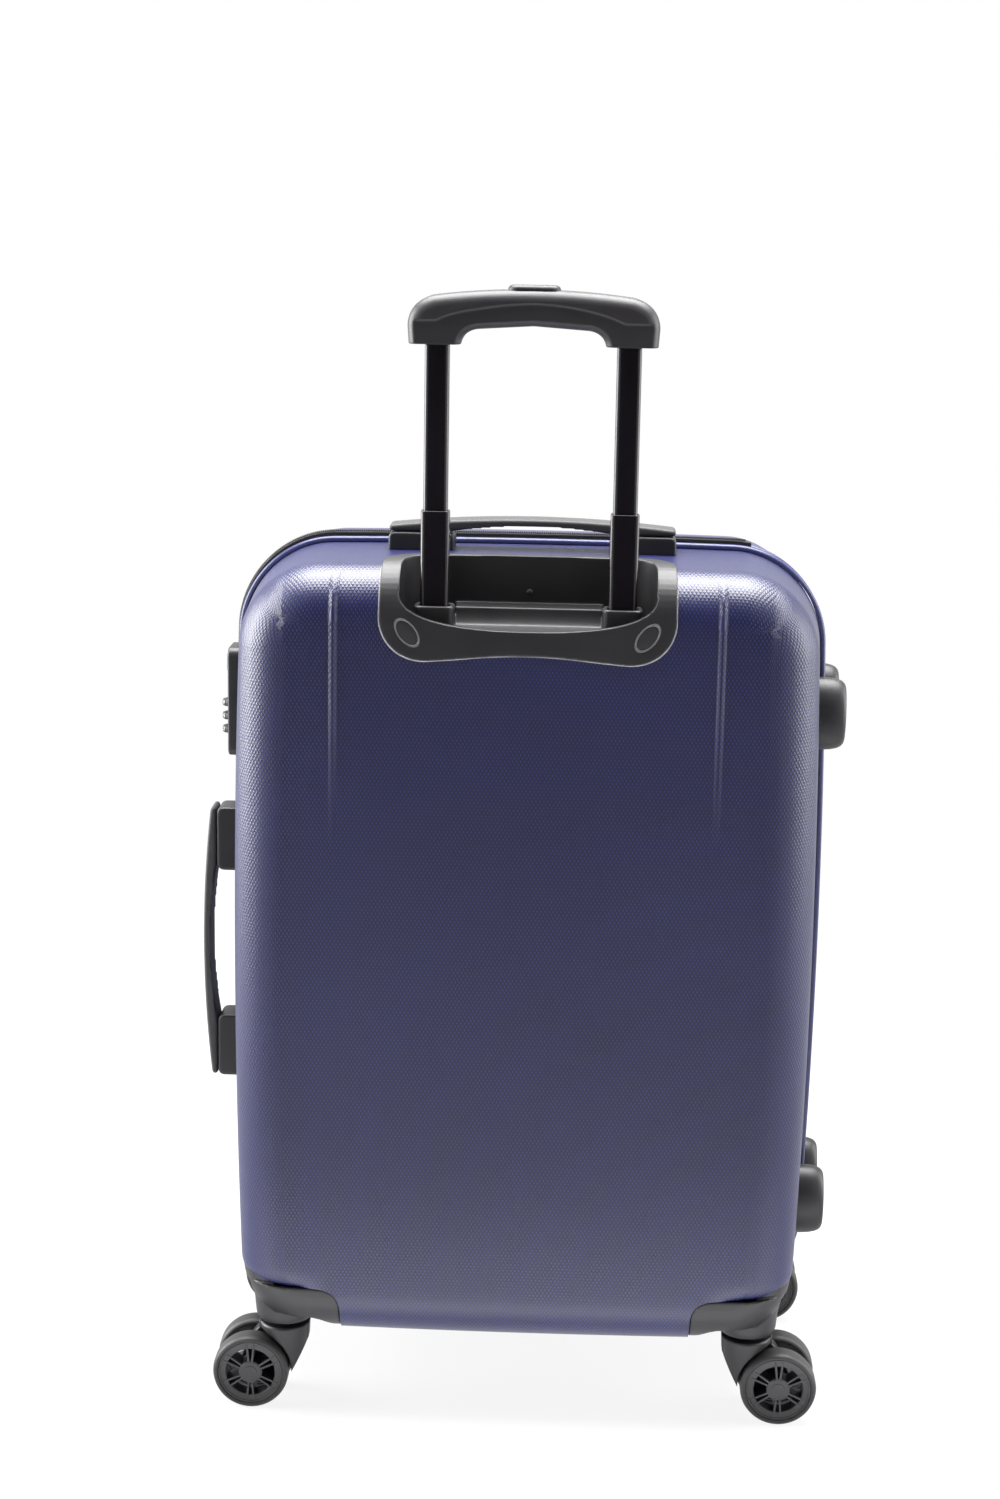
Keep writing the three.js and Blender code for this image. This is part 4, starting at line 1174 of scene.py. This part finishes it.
def dial(name, z):
    """A knurled number wheel; its digits are a piece of their own."""
    rings = []
    for edge, level in ((1.2, -2.5), (0.3, -2.2), (0.0, -1.6), (0.0, 1.6), (0.3, 2.2), (1.2, 2.5)):
        ring = []
        for k in range(160):
            turn = 2 * math.pi * k / 160
            groove = 0.35 * max(0.0, math.cos(10 * turn + math.pi)) ** 6
            radius = 8 - edge - groove
            ring.append((DIAL_X + radius * math.cos(turn), LOCK_Y + radius * math.sin(turn), z + level))
        rings.append(ring)
    wheel = loft(name, rings, smooth_angle=30)
    return cut(wheel, cylinder(1.8, z - 9, z + 9, centre=(DIAL_X, LOCK_Y, 0), steps=16))


def dial_digits(name, z, first_digit):
    pieces = []
    for k in range(10):
        text = bpy.data.curves.new("digit", "FONT")
        text.body = str((first_digit + k) % 10)
        text.size, text.extrude, text.align_x, text.align_y = 3.4 * MM, 0.06 * MM, "CENTER", "CENTER"
        source = bpy.data.objects.new("digit", text)
        scene.collection.objects.link(source)
        made = bpy.data.objects.new("digit", bpy.data.meshes.new_from_object(source))
        bpy.data.objects.remove(source)
        scene.collection.objects.link(made)
        turn = math.pi + 2 * math.pi * k / 10
        out = Vector((math.cos(turn), math.sin(turn), 0))
        up = Vector((0, 0, 1))
        frame_axes = Matrix((up.cross(out), up, out)).transposed().to_4x4()
        place = Matrix.Translation(Vector((DIAL_X, LOCK_Y, z)) * MM + out * 7.98 * MM) @ frame_axes
        made.data.transform(place)
        pieces.append(made)
    return merged(name, pieces)


for i, z in enumerate(DIAL_LEVELS):
    name = f"dial_{i + 1}"
    show(dial(f"{name}_wheel", z), name, GRIP, "grip_plastic", f"lock_{name}")
    show(dial_digits(f"{name}_digits", z, 3 * i), name, DIGITS, "grip_plastic")

press = lock_box("lock_press", 1.5, 3, 8, 546, 560, 2.8, 0.8)
for z in (550.5, 553.0, 555.5):
    press = cut(press, lock_box("tool", 3, -1.1, 5, z - 0.5, z + 0.5, 0.4))
shade(press, 35)
show(press, "lock_release", GRIP, "grip_plastic", "lock_button")

for name in ("upper", "lower"):
    low, high = box_mm(f"zip_slider_{name}")
    z, outer = (low[2] + high[2]) / 2, low[0]
    saddle = rounded_box("slider", (outer, -5, z - 6), (high[0], 5, z + 6), "y", 1.6, 0.8)
    loop_hole = rounded_box("tool", (outer - 2, -9.6, z - 1.4), (outer + 1.8, -6.4, z + 1.4), "x", 0.9, 0)
    pull = rounded_box("pull", (outer, low[1], z - 3), (outer + 1.5, 0, z + 3), "x", 1.6, 0.5)
    made = joined(saddle, cut(pull, loop_hole))
    made.name = f"zip_slider_{name}_cast"
    shade(made, 35)
    show(made, f"{name}_slider", ZIP_METAL, "zip_metal", f"zip_slider_{name}")


# ---------------------------------------------------------------- side feet
def side_foot(side, z):
    """A low oval stud with a raised rim and a slightly dished middle."""
    base, reach = HALF_WIDTH - SIDE_DRAFT, 231.5
    section = (
        (1.0, -3), (1.0, 6), (0.985, 12), (0.95, 16.5), (0.90, 19.4), (0.83, 21.2),
        (0.76, 21.9), (0.70, 21.6), (0.66, 20.9), (0.60, 20.6), (0.02, 20.6),
    )
    rings = []
    for r, rise in section:
        x = base + rise
        ring = []
        for k in range(64):
            turn = 2 * math.pi * k / 64
            ring.append((min(x, reach), side * 30 + 17.5 * r * math.cos(turn), z + 27 * r * math.sin(turn)))
        rings.append(ring)
    foot_piece = loft("side_foot", rings, smooth_angle=35)
    return cut(foot_piece, case_block(side, -0.8, -1))


for half, side in HALVES:
    for end, z in (("upper", 525.0), ("lower", 147.0)):
        made = side_foot(side, z)
        made.name = f"{half}_side_{end}_stud"
        shade(made, 35)
        show(made, f"{half}_half", DARK, "dark_plastic", f"{half}_side_foot_{end}")


# ---------------------------------------------------------------- casters
AXLE_Z = 28.256
TRAIL = 23.5
TYRE_RADIUS = AXLE_Z
FORK_TOP = 62.3
AXLE_PROFILE = [(0, -21.6), (1.6, -21.6), (3, -21), (3, 21), (1.6, 21.6), (0, 21.6)]


def ring_section(half):
    """A closed (radius, level) section from the half of it below the wheel's middle plane."""
    return half + [(radius, -level) for radius, level in reversed(half)] + half[:1]


def swivel_fork():
    """The rear right fork: a drum under the swivel that clears the wheels, and a web down to the axle."""
    x, y, axle_x = CASTER_X, -CASTER_Y, CASTER_X + TRAIL
    side_view = path(
        (x - 19, 64),
        (x - 18.4, 50),
        (x - 12, 36, x - 4, 22),
        (x + 4, 12, axle_x - 4, AXLE_Z - 10.5),
        (axle_x + 13, AXLE_Z - 8, axle_x + 9, AXLE_Z + 6),
        (axle_x + 2, 52, x + 19, 57),
        (x + 19, 64),
        count=12,
    )
    side_view = [tuple(p) for p in side_view]
    drum = [(0, 0), (18.4, 0), (18.5, 60.9), (17.4, FORK_TOP), (0, FORK_TOP)]
    drum = lathe("tool", drum, centre=(x, y, 0))
    drum = common(drum, prism("tool", "y", side_view, -FAR, FAR))
    drum = cut(drum, cylinder(30, -FAR, FAR, "y", (axle_x, 0, AXLE_Z), 96))
    web = prism("web", "y", side_view, y - 6, y + 6, 1.2)
    web = common(web, plain_box((-FAR, -FAR, 0), (FAR, FAR, FORK_TOP)))
    stem = lathe("tool", [(0, 58), (5, 58), (5, 83), (4.2, 84), (0, 84)], centre=(x, y, 0), steps=32)
    hole = cylinder(3.3, -FAR, FAR, "y", (axle_x, 0, AXLE_Z), 32)
    return moulded(cut(joined(web, drum, stem), hole), 0.6, 4, 0.35)


def tyre_profile():
    side = [(23.2, -7.0), (24.1, -7.0), (24.5, -8.2), (25.2, -8.5), (26.4, -8.2), (27.6, -6.9)]
    return ring_section(side + [(TYRE_RADIUS, -4.6)])


def spoked_hub():
    """Rim, hub and six pairs of spokes; the gaps between them go right through."""
    section = ring_section([(18.2, -6.0), (18.8, -6.8), (22.6, -6.8), (22.9, -7.6), (23.8, -7.6)])
    core = [(0, -7.4), (7.8, -7.4), (8.8, -6.6), (8.8, 6.6), (7.8, 7.4), (0, 7.4)]
    rim = joined(lathe("hub", section, "y"), lathe("tool", core, "y", steps=48))
    for k in range(6):
        for lean in (-1, 1):
            middle = (k + 0.5) * math.pi / 3
            start, end = middle + lean * 0.16, middle + lean * 0.12
            a = np.array([7.6 * math.cos(start), 7.6 * math.sin(start)])
            b = np.array([22.2 * math.cos(end), 22.2 * math.sin(end)])
            across = np.array([a[1] - b[1], b[0] - a[0]]) / np.linalg.norm(b - a) * 0.8
            spoke = [a - across, b - across, b + across, a + across]
            rim = joined(rim, prism("tool", "y", spoke, -7.1, 7.1, 0.4, 2))
    bore = cylinder(3.2, -8.4, 6, "y", steps=24)
    disc = [(0, -0.1), (4.2, -0.1), (5.0, 0.3), (5.0, 1.0), (0, 1.0)]
    made = joined(cut(rim, bore), moved(lathe("tool", disc, "y", steps=40), y=6.8))
    shade(made, 30)
    return made


fork = swivel_fork()
hub = spoked_hub()
tyre = lathe("tyre", tyre_profile(), "y", steps=96)
for half, side in HALVES:
    for hand, sign in HANDS:
        label = f"{half}_{hand}"
        swivel = f"{label}_swivel"
        moulding = mirrored(fork, f"{label}_fork_moulding", sign, -side)
        show(moulding, swivel, DARK, "dark_plastic", f"{label}_fork")
        centre = (sign * (CASTER_X + TRAIL), side * CASTER_Y, AXLE_Z)
        pin = lathe(f"{label}_axle_pin", AXLE_PROFILE, "y", centre, 24)
        show(pin, swivel, STEEL, "steel", f"{label}_axle")
        for end, outwards in (("outer", side), ("inner", -side)):
            place = (centre[0], centre[1] + outwards * 15.5, centre[2])
            ride_on = f"{label}_{end}_wheel"
            for source, part, material, slot in ((tyre, "tyre", TYRE, "tyre"), (hub, "hub", HUB, "tyre")):
                made = mirrored(source, f"{label}_{end}_{part}", 1, outwards)
                moved(made, *place)
                replaced = (f"{label}_wheel_{end}",) if part == "tyre" else ()
                show(made, ride_on, material, slot, *replaced)
for source in (fork, hub, tyre):
    bpy.data.objects.remove(source)


# ---------------------------------------------------------------- inside the case
def lining_skin(side):
    """The thin fabric that covers the inside of a half."""
    outer = case_block(side, -WALL - GAP, SEAM_EDGE)
    skin = cut(outer, case_block(side, -WALL - GAP - 0.9, -1))
    return tuck(cut(skin, *[corner_region(sign, side, 0.9) for _, sign in HANDS]))


def panel(name, side, near, far):
    inside = case_block(side, -WALL - GAP - 0.9, SEAM_EDGE)
    levels = sorted((side * near, side * far))
    made = common(inside, plain_box((-FAR, levels[0], 0), (FAR, levels[1], FAR)))
    made = cut(made, *[corner_region(sign, side, 0.9) for _, sign in HANDS])
    made.name = name
    return tuck(made)


rear_skin = cut(lining_skin(-1), recess_tray(WALL + GAP + 0.2, -FAR), lock_hole())
rear_skin.name = "rear_lining_skin"
show(rear_skin, "rear_half", LINING, "lining_fabric")
front_skin = lining_skin(1)
front_skin.name = "front_lining_skin"
show(front_skin, "front_half", LINING, "lining_fabric")
rear_panel = cut(panel("rear_lining_panel", -1, 98.8, 100.3), recess_tray(WALL + GAP, -FAR))
show(rear_panel, "rear_half", LINING, "lining_fabric", "rear_lining")
divider = panel("front_divider_panel", 1, 14.0, 15.5)
show(divider, "front_half", LINING, "lining_fabric", "front_divider")
hump = cut(recess_tray(WALL + 1.4, -98.0), recess_tray(WALL + 0.4, -FAR))
hump = common(hump, case_block(-1, -WALL - GAP - 1.0, SEAM_EDGE))
hump.name = "recess_cover"
show(hump, "rear_half", LINING, "lining_fabric")


# ---------------------------------------------------------------- camera, floor and light
SWEEP_END = -1.35  # where the white floor gives way to a dark room, in front of the case, in metres
ROOM = 0.02  # how bright that room is
LAMPS = {
    "overhead": {"place": (0.0, 0.25, 2.4), "target": (0, 0, 0.4), "size": (2.4, 1.6), "power": 200},
    "left_side": {"place": (-2.3, 0.2, 1.0), "target": (0, 0, 0.35), "size": (1.6, 2.0), "power": 135},
    "right_side": {"place": (2.3, 0.2, 1.0), "target": (0, 0, 0.35), "size": (1.6, 2.0), "power": 55},
    "floor_bounce": {"place": (0.0, -0.26, 0.01), "target": (0, -0.26, 1), "size": (0.9, 0.18), "power": 0.9},
}


def add_camera():
    pitch, yaw, roll = (math.radians(a) for a in (12.136, -2.043, 0.999))
    forward = Vector((math.sin(yaw) * math.cos(pitch), math.cos(yaw) * math.cos(pitch), -math.sin(pitch)))
    right = Vector((math.cos(yaw), -math.sin(yaw), 0))
    up = right.cross(forward)
    across = right * math.cos(roll) + up * math.sin(roll)
    upright = -right * math.sin(roll) + up * math.cos(roll)
    camera = bpy.data.objects.new("camera", bpy.data.cameras.new("camera"))
    camera.matrix_world = Matrix.Translation(Vector((44.09, -1855.60, 884.66)) * MM) @ Matrix(
        (across, upright, -forward)
    ).transposed().to_4x4()
    camera.data.lens, camera.data.sensor_width, camera.data.clip_start = 60.70, 36.0, 0.05
    scene.collection.objects.link(camera)
    scene.camera = camera


def seen_by(tree, *kinds):
    """1 for the named kinds of ray, else 0."""
    rays = tree.nodes.new("ShaderNodeLightPath")
    total = rays.outputs[f"Is {kinds[0]} Ray"]
    for kind in kinds[1:]:
        larger = tree.nodes.new("ShaderNodeMath")
        larger.operation = "MAXIMUM"
        tree.links.new(total, larger.inputs[0])
        tree.links.new(rays.outputs[f"Is {kind} Ray"], larger.inputs[1])
        total = larger.outputs[0]
    return total


def shaders_mixed(tree, factor, first, second):
    mix = tree.nodes.new("ShaderNodeMixShader")
    tree.links.new(factor, mix.inputs["Fac"])
    tree.links.new(first, mix.inputs[1])
    tree.links.new(second, mix.inputs[2])
    return mix.outputs[0]


def add_floor():
    """A white sweep that ends in front of the case, so the case mirrors a dark room beyond it."""
    nodes = Nodes("studio_floor")
    tree = nodes.tree
    nodes.shader.inputs["Roughness"].default_value = 0.75
    split = nodes.add("SeparateXYZ", {"Vector": nodes.place()})
    start, end = SWEEP_END - 0.5, SWEEP_END + 0.5
    near = nodes.add("MapRange", {"Value": split.outputs["Y"]}, From_Min=start, From_Max=end)
    sideways = nodes.math("ABSOLUTE", split.outputs["X"])
    beside = nodes.add("MapRange", {"Value": sideways}, From_Min=0.7, From_Max=1.8)
    bright = nodes.math("MAXIMUM", near.outputs["Result"], beside.outputs["Result"])
    sweep = nodes.ramp(bright, 0.0, 1.0, (ROOM,) * 3, (0.95, 0.95, 0.97))
    paint = nodes.ramp(near.outputs["Result"], 0.0, 1.0, (ROOM,) * 3, (0.86, 0.86, 0.87))
    tree.links.new(paint, nodes.shader.inputs["Base Color"])
    white = nodes.add("Emission", Color=(1, 1, 1, 1))
    mirrored_floor = nodes.add("Emission", {"Color": sweep})
    away = nodes.add("VectorMath", {"Vector": nodes.place()}, operation="LENGTH").outputs["Value"]
    share = nodes.add("MapRange", {"Value": away}, From_Min=0.5, From_Max=2.2, To_Min=0.88)
    seen = nodes.math("MULTIPLY", seen_by(tree, "Camera", "Transmission"), share.outputs["Result"])
    glossy = seen_by(tree, "Glossy")
    shown = shaders_mixed(tree, seen, nodes.shader.outputs[0], white.outputs[0])
    shown = shaders_mixed(tree, glossy, shown, mirrored_floor.outputs[0])
    tree.links.new(shown, tree.nodes["Material Output"].inputs["Surface"])
    corners = [(-6000, -6000, 0), (6000, -6000, 0), (6000, 6000, 0), (-6000, 6000, 0)]
    floor = new_object("studio_floor", corners, [[0, 1, 2, 3]])
    floor.data.materials.append(nodes.material)


def add_softbox(name, place, target, size, power):
    light = bpy.data.lights.new(name, "AREA")
    light.shape = "RECTANGLE"
    light.size, light.size_y = size
    light.energy = power
    box = bpy.data.objects.new(name, light)
    box.location = place
    box.visible_camera = False
    box.rotation_euler = (Vector(target) - Vector(place)).to_track_quat("-Z", "Y").to_euler()
    scene.collection.objects.link(box)


def add_surroundings():
    """White where the camera sees past the case; what the case mirrors darkens behind the camera."""
    world = bpy.data.worlds.new("studio")
    world.use_nodes = True
    scene.world = world
    tree = world.node_tree
    tree.nodes.clear()

    def background(strength, colour=None):
        node = tree.nodes.new("ShaderNodeBackground")
        node.inputs["Strength"].default_value = strength
        if colour is not None:
            tree.links.new(colour, node.inputs["Color"])
        else:
            node.inputs["Color"].default_value = (1, 1, 1, 1)
        return node.outputs[0]

    split = tree.nodes.new("ShaderNodeSeparateXYZ")
    tree.links.new(tree.nodes.new("ShaderNodeTexCoord").outputs["Generated"], split.inputs[0])

    def dimmed(value, start, end):
        room = tree.nodes.new("ShaderNodeMapRange")
        tree.links.new(value, room.inputs["Value"])
        room.inputs["From Min"].default_value, room.inputs["From Max"].default_value = start, end
        room.inputs["To Min"].default_value, room.inputs["To Max"].default_value = ROOM, 0.95
        return room.outputs["Result"]

    def math_node(operation, first, second=None):
        node = tree.nodes.new("ShaderNodeMath")
        node.operation = operation
        tree.links.new(first, node.inputs[0])
        if second is not None:
            tree.links.new(second, node.inputs[1])
        return node.outputs[0]

    mirrored = math_node(
        "MAXIMUM",
        dimmed(split.outputs["Y"], -0.8, -0.1),
        dimmed(math_node("ABSOLUTE", split.outputs["X"]), 0.25, 0.6),
    )
    shown = background(1.0, dimmed(split.outputs["Y"], -0.35, 0.1))
    shown = shaders_mixed(tree, seen_by(tree, "Glossy"), shown, background(1.0, mirrored))
    shown = shaders_mixed(tree, seen_by(tree, "Camera", "Transmission"), shown, background(1.0))
    output = tree.nodes.new("ShaderNodeOutputWorld")
    tree.links.new(shown, output.inputs["Surface"])


add_camera()
add_floor()
add_surroundings()
for name, settings in LAMPS.items():
    add_softbox(name, **settings)

scene.view_settings.view_transform = "Standard"
scene.view_settings.look = "None"
